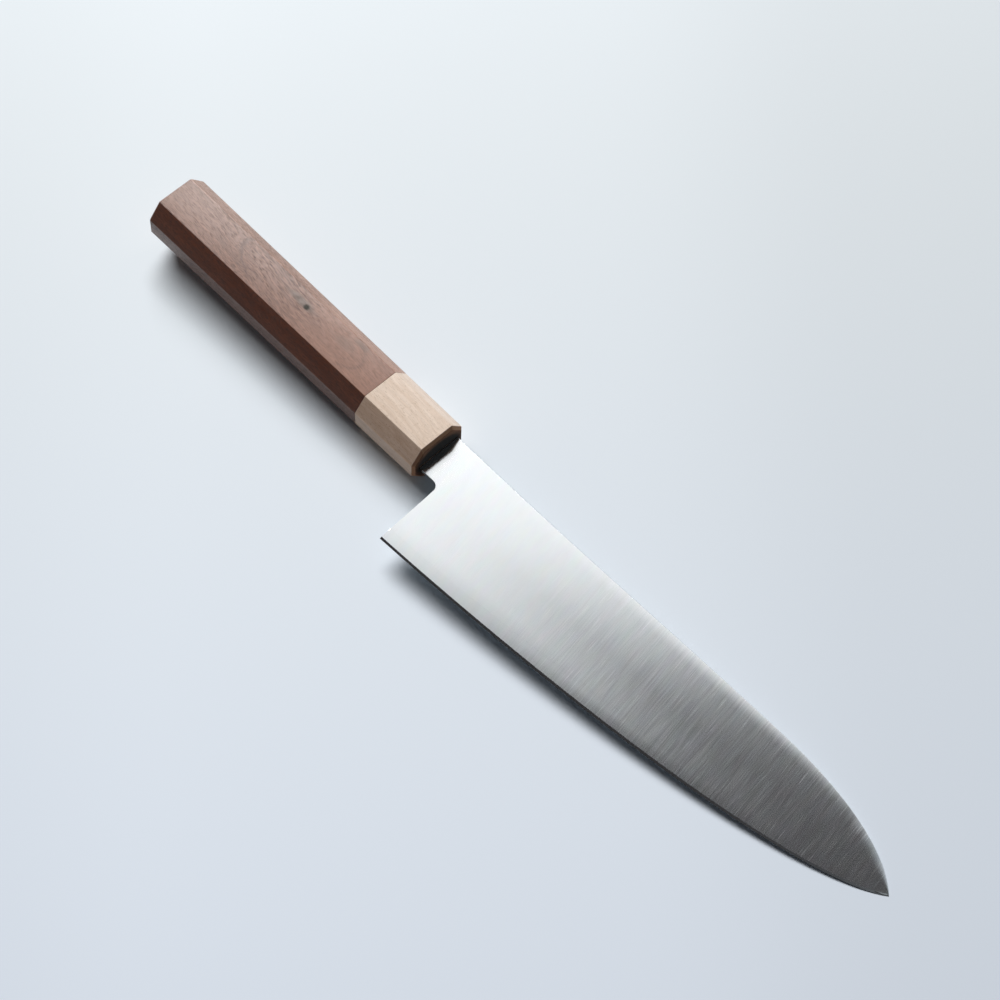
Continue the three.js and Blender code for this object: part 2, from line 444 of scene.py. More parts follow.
@dataclass
class Dressing:
    """A material in the making: its nodes, its shader, and the place on the knife in millimetres."""

    material: bpy.types.Material
    graph: Graph
    shader: bpy.types.Node
    place: Signal

    def feed(self, sockets: dict[str, object]) -> None:
        """Links or sets the shader's inputs by name."""
        for name, value in sockets.items():
            self.graph.feed(self.shader.inputs[name], value)

    def effect(self, tree: bpy.types.NodeTree, feeds: dict[str, object]) -> dict[str, Signal]:
        """Places a shared effect.

        Args:
            tree: The effect's node group.
            feeds: What goes into the group's inputs, besides the place.

        Returns:
            The group's outputs by name.
        """
        node = self.graph.node("ShaderNodeGroup", node_tree=tree)
        for name, value in {"Vector": self.place, **feeds}.items():
            self.graph.feed(node.inputs[name], value)
        return {socket.name: Signal(self.graph, socket) for socket in node.outputs}

    def bump(self, height: Signal, depth: float) -> None:
        """Raises the surface by a height from 0 to 1, with a depth in millimetres."""
        normal = self.graph.output("ShaderNodeBump", {"Height": height, "Distance": depth * MILLIMETRE})
        self.feed({"Normal": normal})


@dataclass(frozen=True)
class Bench:
    """What every finish needs: the knife's axes and the shared effects."""

    axes: KnifeAxes
    effects: Effects

    def start(self, name: str) -> Dressing:
        """Starts a material that knows its place on the knife.

        Args:
            name: The material's name.

        Returns:
            The material in the making.
        """
        material = bpy.data.materials.new(name)
        material.use_nodes = True
        graph = Graph(material.node_tree)
        mapping = graph.node("ShaderNodeMapping")
        place, turn, scale = self.axes.to_knife()
        for label, value in (("Location", place), ("Rotation", turn), ("Scale", scale)):
            mapping.inputs[label].default_value = value
        graph.feed(mapping.inputs["Vector"], graph.output("ShaderNodeTexCoord", {}, "Object"))
        return Dressing(material, graph, graph.shader(), Signal(graph, mapping.outputs["Vector"]))


@dataclass(frozen=True)
class SteelFinish:
    """Satin steel with belt lines from spine to edge, clearer towards the tip. Lengths are in millimetres."""

    colour: Colour
    roughness: float
    roughness_spread: float
    line_width: float
    line_length: float
    lean: float
    line_depth: float
    line_contrast: float
    scratch_contrast: float
    tip_scratch_contrast: float
    lines_from: float
    lines_to: float
    scratches_from: float
    scratches_to: float
    film: float
    anisotropy: float
    # painted reflection: the cutting bevel's steel is made darker to stand for the dark that it mirrors
    bevel_painted_dark: Colour
    bevel_roughness: float

    def material(self, name: str, bench: Bench) -> bpy.types.Material:
        """Makes the material, with the cutting bevel polished and darkened by a painted reflection where the
        mesh marks it.

        Args:
            name: The material's name.
            bench: The axes and shared effects.

        Returns:
            The material.
        """
        dressing = bench.start(name)
        graph = dressing.graph
        sizes = {"Line Length": self.line_length, "Line Width": self.line_width, "Lean": self.lean}
        satin = dressing.effect(bench.effects.satin_lines, sizes)
        x, _, _ = graph.split(dressing.place)
        shown = x.ramp(self.lines_from, self.lines_to)
        clear = x.ramp(self.scratches_from, self.scratches_to)
        scratched = satin["Scratches"] * clear.times_plus(self.tip_scratch_contrast, self.scratch_contrast)
        lines = satin["Lines"] - NOISE_MIDDLE
        tone = lines * self.line_contrast + scratched
        filmed = graph.blend(self.film, self.colour, satin["Film"])
        toned = graph.scaled(filmed, tone.times_plus(shown, 1.0))
        bevel = graph.output("ShaderNodeAttribute", {}, "Fac", attribute_name=BEVEL_MASK)
        rough = lines * self.roughness_spread + self.roughness
        rough = bevel.times_plus(self.bevel_roughness - self.roughness, rough)
        tangent = graph.output("ShaderNodeTangent", {}, direction_type="UV_MAP", uv_map=PLAN_MAP)
        dressing.feed({
            "Base Color": graph.blend(bevel, toned, self.bevel_painted_dark),
            "Metallic": 1.0,
            "Roughness": rough,
            "Anisotropic": self.anisotropy,
            "Tangent": tangent,
        })
        dressing.bump(satin["Lines"], self.line_depth)
        return dressing.material


@dataclass(frozen=True)
class WoodFinish:
    """Sanded and oiled wood, with painted shade on its belly facets and a painted sheen on its spine facets.

    Lengths are in millimetres.
    """

    pale: Colour
    dark: Colour
    pore_colour: Colour
    streak_length: float
    streak_width: float
    pore_length: float
    pore_width: float
    pore_share: float
    pore_strength: float
    fibre_contrast: float
    waviness: float
    lean: float
    roughness: float
    gloss: float
    coat: float
    coat_roughness: float
    pore_depth: float
    pore_roughness: float = 0.2
    fibre_relief: float = 0.3
    # painted light on the facets: shade towards the belly, some painted bounce on the belly's flat side,
    # sheen towards the spine
    belly_painted_shade: Colour = WHITE
    side_painted_bounce: Colour = WHITE
    spine_painted_sheen: Colour = WHITE
    facet_from: float = 6.9
    facet_to: float = 7.4
    side_from: float = 3.9
    side_to: float = 3.4

    def start(self, name: str, bench: Bench) -> tuple[Dressing, dict[str, Signal]]:
        """Makes the grain that every wood has.

        Args:
            name: The material's name.
            bench: The axes and shared effects.

        Returns:
            The material in the making, and its signals by name: the colour, the roughness and the pores.
        """
        dressing = bench.start(name)
        graph = dressing.graph
        sizes = {
            "Streak Length": self.streak_length,
            "Streak Width": self.streak_width,
            "Pore Length": self.pore_length,
            "Pore Width": self.pore_width,
            "Pore Share": self.pore_share,
            "Waviness": self.waviness,
            "Lean": self.lean,
        }
        grain = dressing.effect(bench.effects.wood_grain, sizes)
        streaked = graph.blend(grain["Streaks"], self.dark, self.pale)
        fibres = grain["Fibres"] - NOISE_MIDDLE
        fibrous = graph.scaled(streaked, fibres.times_plus(self.fibre_contrast, 1.0))
        colour = graph.blend(grain["Pores"] * self.pore_strength, fibrous, self.pore_colour)
        rough = grain["Pores"].times_plus(self.pore_roughness, self.roughness)
        dressing.bump(grain["Fibres"] * self.fibre_relief - grain["Pores"], self.pore_depth)
        dressing.feed({
            "Roughness": rough,
            "Specular IOR Level": self.gloss,
            "Coat Weight": self.coat,
            "Coat Roughness": self.coat_roughness,
        })
        return dressing, {"colour": colour, "rough": rough, "pores": grain["Pores"]}

    def painted_facet_light(self, dressing: Dressing, colour: Signal) -> Signal:
        """Paints shade on the belly facets, less of it on the belly's flat side, and sheen on the spine
        facets.

        Args:
            dressing: The material in the making.
            colour: The wood's colour.

        Returns:
            The colour with the painted shade and sheen.
        """
        _, y, z = dressing.graph.split(dressing.place)
        belly = y.ramp(-self.facet_from, -self.facet_to)
        side = belly * abs(z).ramp(self.side_from, self.side_to)
        spine = y.ramp(self.facet_from, self.facet_to)
        # painted light: darker towards the belly, brighter and bluer towards the spine
        for share, tint in ((belly, self.belly_painted_shade), (side, self.side_painted_bounce), (spine, self.spine_painted_sheen)):
            colour = dressing.graph.blend(share, colour, dressing.graph.multiplied(colour, tint))
        return colour

    def material(self, name: str, bench: Bench) -> bpy.types.Material:
        """Makes the plain wood.

        Args:
            name: The material's name.
            bench: The axes and shared effects.

        Returns:
            The material.
        """
        dressing, signals = self.start(name, bench)
        dressing.feed({"Base Color": self.painted_facet_light(dressing, signals["colour"])})
        return dressing.material


@dataclass(frozen=True)
class Oval:
    """An oval of a wood's figure, in a plane of the knife."""

    centre: tuple[float, float]
    reach: tuple[float, float]
    strength: float

    def radius(self, x: Signal, y: Signal) -> Signal:
        """How far out a place lies.

        Args:
            x: The place along the plane's first axis.
            y: The place along its second axis.

        Returns:
            The distance from the centre: 1 on the oval.
        """
        across = (x - self.centre[0]) / self.reach[0]
        up = (y - self.centre[1]) / self.reach[1]
        return (across * across + up * up).call("SQRT")


@dataclass(frozen=True)
class Arc(Oval):
    """The part of an oval's line that lies beyond a border along X."""

    width: float
    fade_from: float
    fade_to: float

    def line(self, x: Signal, y: Signal, wobble: Signal) -> Signal:
        """The line, from 0 to its strength."""
        near = abs(self.radius(x, y) + wobble - 1.0).ramp(self.width, 0.0)
        return near * x.ramp(self.fade_from, self.fade_to) * self.strength


@dataclass(frozen=True)
class WalnutFinish(WoodFinish):
    """Walnut with a small knot in the upper facet and a figure that flows round it."""

    knot: Oval = Oval((-70.9, 2.0), (1.75, 1.5), 0.9)
    knot_colour: Colour = (0.04, 0.04, 0.034)
    patches: tuple[Oval, ...] = (
        Oval((-73.5, 2.5), (9.5, 1.9), 0.75),
        Oval((-46.0, 6.0), (4.5, 1.8), 0.4),
        Oval((-51.0, 2.0), (7.0, 3.2), 0.28),
    )
    patch_colour: Colour = (0.095, 0.062, 0.043)
    arcs: tuple[Arc, ...] = (
        Arc((-88.0, 4.0), (18.0, 9.0), 1.0, width=0.07, fade_from=-90.0, fade_to=-99.0),
        Arc((-62.0, 0.0), (21.5, 9.0), 0.45, width=0.08, fade_from=-52.0, fade_to=-43.0),
        Arc((-62.0, 0.0), (17.0, 6.6), 0.2, width=0.06, fade_from=-56.0, fade_to=-47.0),
    )
    arc_colour: Colour = (0.075, 0.034, 0.022)
    figure_top: float = 9.0
    red: Colour = (0.29, 0.14, 0.09)
    red_range: tuple[float, float] = (-82.0, -50.0)
    red_share: float = 0.5
    # painted sheen: paler and greyer on the upper facets towards the butt
    butt_painted_sheen: Colour = (0.225, 0.125, 0.088)
    butt_sheen_range: tuple[float, float] = (-92.0, -138.0)
    butt_sheen_share: float = 0.45
    wobble_scale: float = 0.16
    patch_wobble: float = 0.9
    patch_border: tuple[float, float] = (1.1, 0.3)
    arc_wobble: float = 0.25
    arc_breaks: float = 0.55
    knot_wobble: float = 0.5
    knot_border: tuple[float, float] = (1.0, 0.3)
    knot_roughness: float = 0.5

    def material(self, name: str, bench: Bench) -> bpy.types.Material:
        """Makes the walnut, redder at the ferrule and with a paler, greyer painted sheen at the butt, with
        its figure and its knot.

        Args:
            name: The material's name.
            bench: The axes and shared effects.

        Returns:
            The material.
        """
        dressing, signals = self.start(name, bench)
        graph, colour, pores = dressing.graph, signals["colour"], signals["pores"]
        x, y, z = graph.split(dressing.place)
        upper = z.ramp(0.0, self.figure_top) * y.ramp(-self.facet_to, -self.facet_from)
        colour = graph.blend(x.ramp(*self.red_range) * upper * self.red_share, colour, self.red)
        # painted sheen, paler and greyer towards the butt
        colour = graph.blend(x.ramp(*self.butt_sheen_range) * upper * self.butt_sheen_share, colour, self.butt_painted_sheen)
        wobble = graph.noise(dressing.place, scale=self.wobble_scale, detail=3.0) - NOISE_MIDDLE
        for patch in self.patches:
            soft = (patch.radius(x, y) + wobble * self.patch_wobble).ramp(*self.patch_border)
            colour = graph.blend(soft * patch.strength * upper, colour, self.patch_colour)
        breaks = pores.times_plus(self.arc_breaks, 1.0 - self.arc_breaks)
        for arc in self.arcs:
            broken = arc.line(x, y, wobble * self.arc_wobble) * breaks
            colour = graph.blend(broken * upper, colour, self.arc_colour)
        knot = (self.knot.radius(x, y) + wobble * self.knot_wobble).ramp(*self.knot_border)
        knot = knot * upper * self.knot.strength
        dressing.feed({
            "Base Color": self.painted_facet_light(dressing, graph.blend(knot, colour, self.knot_colour)),
            "Roughness": knot.times_plus(self.knot_roughness, signals["rough"]),
            "Coat Weight": knot.times_plus(-self.coat, self.coat),
        })
        return dressing.material


@dataclass(frozen=True)
class FerruleFinish(WoodFinish):
    """Pale wood whose end grain drinks the oil: brown on the front chamfer, dark and dull in the face, with
    painted shade nearly black round the neck.
    """

    chamfer_colour: Colour = (0.34, 0.175, 0.095)
    end_colour: Colour = (0.16, 0.075, 0.04)
    # painted shade: nearly black, in an oval round the neck in the front face
    mouth_painted_shade: Colour = (0.004, 0.0035, 0.003)
    end_roughness: float = 0.9
    chamfer: float = 1.2
    chamfer_border: tuple[float, float] = (1.05, 0.8)
    chamfer_share: float = 0.9
    face_border: float = 0.3
    border_scale: float = 1.3
    border_wobble: float = 0.3
    mouth_reach: tuple[float, float] = (11.0, 7.6)
    mouth_border: tuple[float, float] = (1.15, 0.8)

    def material(self, name: str, bench: Bench) -> bpy.types.Material:
        """Makes the pale wood and its darker front end, with painted shade in the mouth round the neck.

        Args:
            name: The material's name.
            bench: The axes and shared effects.

        Returns:
            The material.
        """
        dressing, signals = self.start(name, bench)
        graph = dressing.graph
        x, y, z = graph.split(dressing.place)
        wobble = graph.noise(dressing.place, scale=self.border_scale, detail=2.0) - NOISE_MIDDLE
        front = x + wobble * self.border_wobble
        on_chamfer = front.ramp(*(-self.chamfer * share for share in self.chamfer_border))
        on_face = front.ramp(-self.chamfer * self.face_border, 0.0)
        # painted shade in the mouth, blended over the dark end grain
        mouth = Oval((0.0, 0.0), self.mouth_reach, 1.0)
        mouth_shade = mouth.radius(y, z).ramp(*self.mouth_border)
        end_grain_and_shade = graph.blend(mouth_shade, self.end_colour, self.mouth_painted_shade)
        colour = graph.blend(on_chamfer * self.chamfer_share, signals["colour"], self.chamfer_colour)
        dressing.feed({
            "Base Color": self.painted_facet_light(dressing, graph.blend(on_face, colour, end_grain_and_shade)),
            "Roughness": on_chamfer.times_plus(self.end_roughness - self.roughness, signals["rough"]),
            "Coat Weight": on_chamfer.times_plus(-self.coat, self.coat),
        })
        return dressing.material


@dataclass(frozen=True)
class CompoundFinish:
    """A cured resin or sealing compound, cloudy and a little uneven."""

    colour: Colour
    cloud_colour: Colour
    roughness: float
    grain: float
    gloss: float
    cloud_roughness: float = 0.2
    unevenness: float = 0.05

    def material(self, name: str, bench: Bench) -> bpy.types.Material:
        """Makes the compound.

        Args:
            name: The material's name.
            bench: The axes and shared effects.

        Returns:
            The material.
        """
        dressing = bench.start(name)
        clouds = dressing.graph.noise(dressing.place, scale=1.0 / self.grain, detail=3.0)
        dressing.feed({
            "Base Color": dressing.graph.blend(clouds, self.colour, self.cloud_colour),
            "Roughness": clouds.times_plus(self.cloud_roughness, self.roughness - self.cloud_roughness / 2.0),
            "Specular IOR Level": self.gloss,
        })
        dressing.bump(clouds, self.unevenness)
        return dressing.material


def rise(value: float, start: float, end: float) -> float:
    """How far a value has come from a start to an end, from 0 to 1."""
    return min(max((value - start) / (end - start), 0.0), 1.0)


@dataclass(frozen=True)
class Bezier:
    """A cubic curve in the blade's plane that runs one way along X."""

    start: Vector
    start_pull: Vector
    end_pull: Vector
    end: Vector

    def at(self, share: float) -> Vector:
        """A place on the curve.

        Args:
            share: Its share of the curve's parameter, from 0 to 1.

        Returns:
            The place.
        """
        rest = 1.0 - share
        return (
            self.start * rest**3
            + self.start_pull * 3.0 * rest**2 * share
            + self.end_pull * 3.0 * rest * share**2
            + self.end * share**3
        )

    def height(self, x: float) -> float:
        """The curve's height over a place along X, found by halving.

        Args:
            x: The place.

        Returns:
            Its Y on the curve.
        """
        low, high = (0.0, 1.0) if self.start.x < self.end.x else (1.0, 0.0)
        for _ in range(HALVINGS):
            middle = (low + high) / 2.0
            if self.at(middle).x < x:
                low = middle
            else:
                high = middle
        return self.at((low + high) / 2.0).y


def pulled(origin: Vector, degrees: float, distance: float) -> Vector:
    """A place at a distance and an angle from another one."""
    angle = math.radians(degrees)
    return origin + Vector((math.cos(angle), math.sin(angle))) * distance


@dataclass(frozen=True)
class Station:
    """One line across the blade, from its lower border up to its spine."""

    lower: Vector
    upper: Vector

    @property
    def length(self) -> float:
        """How far the line runs."""
        return (self.upper - self.lower).length

    def at(self, distance: float) -> Vector:
        """The place at a distance from the lower border."""
        return self.lower.lerp(self.upper, distance / self.length) if self.length else self.lower.copy()


def finish_object(
    name: str, mesh: bpy.types.Mesh, material: bpy.types.Material | None = None
) -> bpy.types.Object:
    """Puts a mesh in the scene as an object at the origin.

    Args:
        name: The object's name.
        mesh: Its mesh.
        material: Its material, if it has one by now.

    Returns:
        The object.
    """
    made = bpy.data.objects.new(name, mesh)
    if material is not None:
        mesh.materials.append(material)
    bpy.context.scene.collection.objects.link(made)
    return made


def skin(
    name: str,
    rings: list[Ring],
    axes: KnifeAxes,
    material: bpy.types.Material,
    creases: tuple[int, ...] = (),
    marked: tuple[int, ...] = (),
) -> bpy.types.Object:
    """Skins rings that follow each other along +X into one closed mesh.

    Args:
        name: The piece's name.
        rings: Rings of as many points each, turning from +Z towards -Z over +Y.
        axes: The knife's axes.
        material: The piece's material.
        creases: Points of a ring that run along the blade as crisp edges.
        marked: Points of a ring whose strip, up to the next point, belongs to the cutting bevel.

    Returns:
        The piece's object.
    """
    builder = bmesh.new()
    plan = builder.loops.layers.uv.new(PLAN_MAP)
    bevel = builder.faces.layers.float.new(BEVEL_MASK)
    corners = [[builder.verts.new(place) for place in ring] for ring in rings]
    count = len(rings[0])
    for here, there in zip(corners, corners[1:]):
        for j in range(count):
            k = (j + 1) % count
            strip = builder.faces.new((here[j], there[j], there[k], here[k]))
            strip[bevel] = 1.0 if j in marked else 0.0
        for j in creases:
            builder.edges.get((here[j], there[j])).smooth = False
    builder.faces.new(corners[0])
    builder.faces.new(list(reversed(corners[-1])))
    for face in builder.faces:
        face.smooth = True
        for loop in face.loops:
            loop[plan].uv = loop.vert.co.xy
    bmesh.ops.remove_doubles(builder, verts=builder.verts, dist=MERGE_DISTANCE)
    bmesh.ops.dissolve_degenerate(builder, edges=builder.edges, dist=MERGE_DISTANCE)
    bmesh.ops.recalc_face_normals(builder, faces=builder.faces)
    for edge in builder.edges:
        if edge.is_manifold and edge.calc_face_angle() > SHARP_ANGLE:
            edge.smooth = False
    mesh = bpy.data.meshes.new(name)
    builder.to_mesh(mesh)
    builder.free()
    mesh.transform(axes.to_model())
    return finish_object(name, mesh, material)


@dataclass
class Blade:
    """The laminated blade: a hard core between two claddings, ground thin down to a polished cutting bevel.

    Where a form starts, is full or ends is a place along X. The bow and the hollow are shares of the face's
    height, and the roll's fade is a share of its drop.
    """

    edge_length: float = 210.0
    heel_height: float = 46.6
    heel_setback: float = 11.1
    neck_height: float = 18.0
    choil_fillet: float = 3.0
    choil_lean: float = 2.4
    tip_drop: float = 13.6
    crest_rise: float = 2.3
    crest_to_tip: float = 64.7
    crest_slope: float = 0.6
    edge_heel_angle: float = 2.3
    edge_heel_pull: float = 59.0
    edge_tip_angle: float = 36.3
    edge_tip_pull: float = 36.2
    spine_neck_pull: float = 70.0
    spine_crest_rear_pull: float = 64.0
    spine_crest_front_pull: float = 20.8
    spine_tip_angle: float = 44.3
    spine_tip_pull: float = 19.6
    stock_thickness: float = 2.0
    core_thickness: float = 0.62
    tip_thickness: float = 1.0
    bevel_height: float = 0.9
    shoulder_thickness: float = 0.36
    edge_thickness: float = 0.05
    roll_width: float = 9.0
    roll_drop: float = 0.08
    lip_width: float = 3.8
    lip_drop: float = 0.042
    bow: float = 0.0028
    hollow: float = 0.0028
    hollow_start: float = 40.0
    hollow_full: float = 95.0
    shoulder_depth: float = 6.0
    shoulder_slope: float = 1.5
    tang_length: float = 82.0
    tang_root_height: float = 9.0
    tang_end_height: float = 6.5
    crown_width: float = 5.0
    crown_drop: float = 0.1
    crown_curve: float = 2.4
    crown_start: float = 20.0
    crown_end: float = 180.0
    crown_full_height: float = 12.0
    crown_share: float = 0.85
    tip_crown: float = 2.0
    tip_crown_start: float = 188.0
    tip_crown_end: float = 214.0
    thin_height: float = 18.0
    least_core: float = 0.3
    roll_fade_start: float = 55.0
    roll_fade_end: float = 110.0
    roll_fade: float = 0.7
    spine_round: float = 0.3
    round_side_share: float = 0.8
    round_face_share: float = 0.3
    edge_stations: int = 180
    choil_stations: int = 16
    fillet_stations: int = 8
    neck_stations: int = 8
    face_rows: int = 44
    core_rows: int = 12
    round_rows: int = 5

    heel: Vector = field(init=False)
    tip: Vector = field(init=False)
    edge: Bezier = field(init=False)
    spine_front: Bezier = field(init=False)
    spine_rear: Bezier = field(init=False)

    def __post_init__(self) -> None:
        """Draws the edge and the spine from the sizes."""
        spine_y = self.neck_height / 2.0
        tip_y = spine_y - self.tip_drop
        self.heel = Vector((self.heel_setback, spine_y - self.heel_height))
        run = math.sqrt(self.edge_length**2 - (tip_y - self.heel.y) ** 2)
        self.tip = Vector((self.heel.x + run, tip_y))
        crest = Vector((self.tip.x - self.crest_to_tip, spine_y + self.crest_rise))
        self.edge = Bezier(
            self.heel,
            pulled(self.heel, self.edge_heel_angle, self.edge_heel_pull),
            pulled(self.tip, self.edge_tip_angle, -self.edge_tip_pull),
            self.tip,
        )
        self.spine_front = Bezier(
            crest,
            pulled(crest, self.crest_slope, self.spine_crest_front_pull),
            pulled(self.tip, -self.spine_tip_angle, -self.spine_tip_pull),
            self.tip,
        )
        self.spine_rear = Bezier(
            Vector((0.0, spine_y)),
            Vector((self.spine_neck_pull, spine_y)),
            pulled(crest, self.crest_slope, -self.spine_crest_rear_pull),
            crest,
        )

    def spine_height(self, x: float) -> float:
        """The spine's height.

        Args:
            x: A place along X.

        Returns:
            The spine's Y there.
        """
        if x <= 0.0:
            return self.neck_height / 2.0
        curve = self.spine_rear if x < self.spine_front.start.x else self.spine_front
        return curve.height(min(x, self.tip.x))

    def edge_height(self, x: float) -> float:
        """The edge's height, carried on straight behind the heel.

        Args:
            x: A place along X.

        Returns:
            The edge's Y there.
        """
        if x <= self.heel.x:
            return self.heel.y + (x - self.heel.x) * math.tan(math.radians(self.edge_heel_angle))
        return self.edge.height(min(x, self.tip.x))

    def taper(self, x: float) -> float:
        """How thick the stock is at a place along X, as a share of its thickness at the heel."""
        return 1.0 + (self.tip_thickness / self.stock_thickness - 1.0) * rise(x, self.heel.x, self.tip.x)

    def fullness(self, height: float) -> float:
        """How full the grind is where the blade has a height, from 0 to 1: a low tip is ground thin."""
        return 1.0 - max(1.0 - height / self.thin_height, 0.0) ** 2

    def weld(self, x: float) -> float:
        """Half the core's thickness, which thins with the stock and in the low tip."""
        height = self.spine_height(x) - self.edge_height(x)
        return self.core_thickness / 2.0 * self.taper(x) * max(self.fullness(height), self.least_core)

    def half_thickness(self, place: Vector) -> float:
        """Half the ground blade's thickness at a place in its plane.

        The face climbs from the bevel's shoulder and rolls in over it, with a narrow lip further forward.
        Its lower half is a little hollow forward of the heel, its upper half bows, and it is crowned along
        the spine, more towards the tip. Where the blade gets low at the tip, it also gets thin.

        Args:
            place: The place in the blade's plane.

        Returns:
            Half the thickness.
        """
        over = place.y - self.edge_height(place.x)
        if over < self.bevel_height:
            share = max(over, 0.0) / self.bevel_height
            full = self.edge_thickness + (self.shoulder_thickness - self.edge_thickness) * share
            return self.taper(place.x) * full / 2.0
        over -= self.bevel_height
        under = max(self.spine_height(place.x) - place.y, 0.0)
        height = max(over + under, MERGE_DISTANCE)
        climb = over / height
        half_stock, half_shoulder = self.stock_thickness / 2.0, self.shoulder_thickness / 2.0
        faded = rise(place.x, self.roll_fade_start, self.roll_fade_end)
        drop = self.roll_drop * (1.0 - self.roll_fade * faded)
        lip = self.lip_drop * faded
        roll = drop * (1.0 - max(1.0 - over / self.roll_width, 0.0) ** 2)
        roll += lip * (1.0 - max(1.0 - over / self.lip_width, 0.0) ** 2)
        left = half_stock - half_shoulder - drop - lip
        half = half_shoulder + roll + left * climb * self.fullness(height)
        grown = rise(place.x, self.crown_start, self.crown_end)
        grown += self.tip_crown * rise(place.x, self.tip_crown_start, self.tip_crown_end)
        shrink = min(height / self.crown_full_height, 1.0)
        crown = max(1.0 - under / (self.crown_width * shrink), 0.0) ** self.crown_curve
        crown *= self.crown_drop * shrink * grown
        bow = self.bow * height * max(2.0 * climb - 1.0, 0.0) ** 2
        hollow = self.hollow * height * rise(place.x, self.hollow_start, self.hollow_full)
        hollow *= 1.0 - max(1.0 - 2.0 * climb, 0.0) ** 2 - climb
        bare = self.taper(place.x) * half - bow - hollow
        return bare - min(crown, self.crown_share * max(bare - self.weld(place.x), 0.0))

    def stations(self) -> list[Station]:
        """Draws lines across the blade, from the tang's end along the neck and round the choil to the tip.

        Returns:
            The lines in order.
        """
        tang_root_x = -self.shoulder_depth - self.shoulder_slope
        tang_end_x = tang_root_x - self.tang_length
        half_neck = self.neck_height / 2.0
        found = []
        for x, half in (
            (tang_end_x, self.tang_end_height / 2.0),
            (tang_root_x, self.tang_root_height / 2.0),
            (-self.shoulder_depth, half_neck),
        ):
            found.append(Station(Vector((x, -half)), Vector((x, half))))

        lean = math.radians(self.choil_lean)
        centre_y = -half_neck - self.choil_fillet
        drop = (self.heel.y - centre_y) * math.sin(lean)
        centre = Vector((self.heel.x + (drop - self.choil_fillet) / math.cos(lean), centre_y))
        for i in range(1, self.neck_stations + 1):
            x = -self.shoulder_depth + (centre.x + self.shoulder_depth) * i / self.neck_stations
            found.append(Station(Vector((x, -half_neck)), Vector((x, self.spine_height(x)))))

        border = []
        for i in range(1, self.fillet_stations + 1):
            angle = 90.0 + (self.choil_lean - 90.0) * i / self.fillet_stations
            border.append(pulled(centre, angle, self.choil_fillet))
        choil_top = border[-1]
        for i in range(1, self.choil_stations + 1):
            border.append(choil_top.lerp(self.heel, i / self.choil_stations))
        for i, place in enumerate(border, start=1):
            x = centre.x + (self.heel.x - centre.x) * i / len(border)
            found.append(Station(place, Vector((x, self.spine_height(x)))))

        for i in range(1, self.edge_stations + 1):
            share = i / self.edge_stations
            place = self.edge.at(share)
            found.append(Station(place, Vector((place.x, self.spine_height(place.x)))))
        return found

    def weld_distance(self, station: Station) -> float:
        """How far up a station the core comes out of its cladding, where the grind cuts the weld.

        Args:
            station: The line across the blade.

        Returns:
            The distance from its lower border.
        """

        def cladding(step: float) -> float:
            """How thick the cladding is at a step up the station."""
            place = station.at(step)
            return self.half_thickness(place) - self.weld(place.x)

        if cladding(0.0) >= 0.0:
            return 0.0
        low = 0.0
        high = max((station.length * i / self.face_rows for i in range(self.face_rows + 1)), key=cladding)
        if cladding(high) <= 0.0:
            return station.length
        for _ in range(HALVINGS):
            middle = (low + high) / 2.0
            if cladding(middle) < 0.0:
                low = middle
            else:
                high = middle
        return (low + high) / 2.0

    def core_ring(self, station: Station) -> Ring:
        """The core's outline across a station, up its right side and down its left.

        Args:
            station: The line across the blade.

        Returns:
            The outline.
        """
        bared = self.weld_distance(station)
        over = station.lower.y - self.edge_height(station.lower.x)
        shoulder = min(max(self.bevel_height - over, 0.0), bared)
        shares = [i / self.core_rows for i in range(self.core_rows + 1)]
        steps = [0.0]
        steps += [shoulder + (bared - shoulder) * share for share in shares]
        steps += [bared + (station.length - bared) * share for share in shares[1:]]
        right = []
        for step in steps:
            place = station.at(step)
            right.append(Vector((*place, min(self.half_thickness(place), self.weld(place.x)))))
        left = [Vector((place.x, place.y, -place.z)) for place in reversed(right)]
        return right + left

    def cladding_ring(self, station: Station) -> Ring | None:
        """The right cladding's outline across a station.

        Args:
            station: The line across the blade.

        Returns:
            The outline, or nothing where the grind has taken the cladding away.
        """
        bared = self.weld_distance(station)
        length = station.length
        spine_side = self.half_thickness(station.upper) - self.weld(station.upper.x)
        if length - bared < self.spine_round or spine_side <= 0.0:
            return None

        def inner(step: float) -> Vector:
            """A place on the weld, at a step up the station."""
            place = station.at(step)
            return Vector((*place, self.weld(place.x)))

        radius = min(
            self.spine_round,
            spine_side * self.round_side_share,
            (length - bared) * self.round_face_share,
        )
        ring = [inner(bared)]
        for i in range(self.face_rows + 1):
            share = (1.0 - math.cos(math.pi * i / self.face_rows)) / 2.0
            place = station.at(bared + (length - radius - bared) * share)
            ring.append(Vector((*place, max(self.half_thickness(place), self.weld(place.x)))))
        crest = ring[-1].z
        for i in range(1, self.round_rows + 1):
            angle = math.pi / 2.0 * i / self.round_rows
            place = station.at(length - radius + radius * math.sin(angle))
            ring.append(Vector((*place, crest - radius + radius * math.cos(angle))))
        rows = range(self.core_rows)
        return ring + [inner(length + (bared - length) * i / self.core_rows) for i in rows]

    def build_core(self, axes: KnifeAxes, material: bpy.types.Material) -> bpy.types.Object:
        """Builds and dresses the core with its tang, and marks the cutting bevel.

        Args:
            axes: The knife's axes.
            material: The core's material.

        Returns:
            The core's object.
        """
        rings = [self.core_ring(station) for station in self.stations()]
        last = len(rings[0]) - 1
        bared = 1 + self.core_rows
        creases = (1, bared, last - bared, last - 1)
        return skin("core_steel_layer", rings, axes, material, creases=creases, marked=(0, last - 1, last))

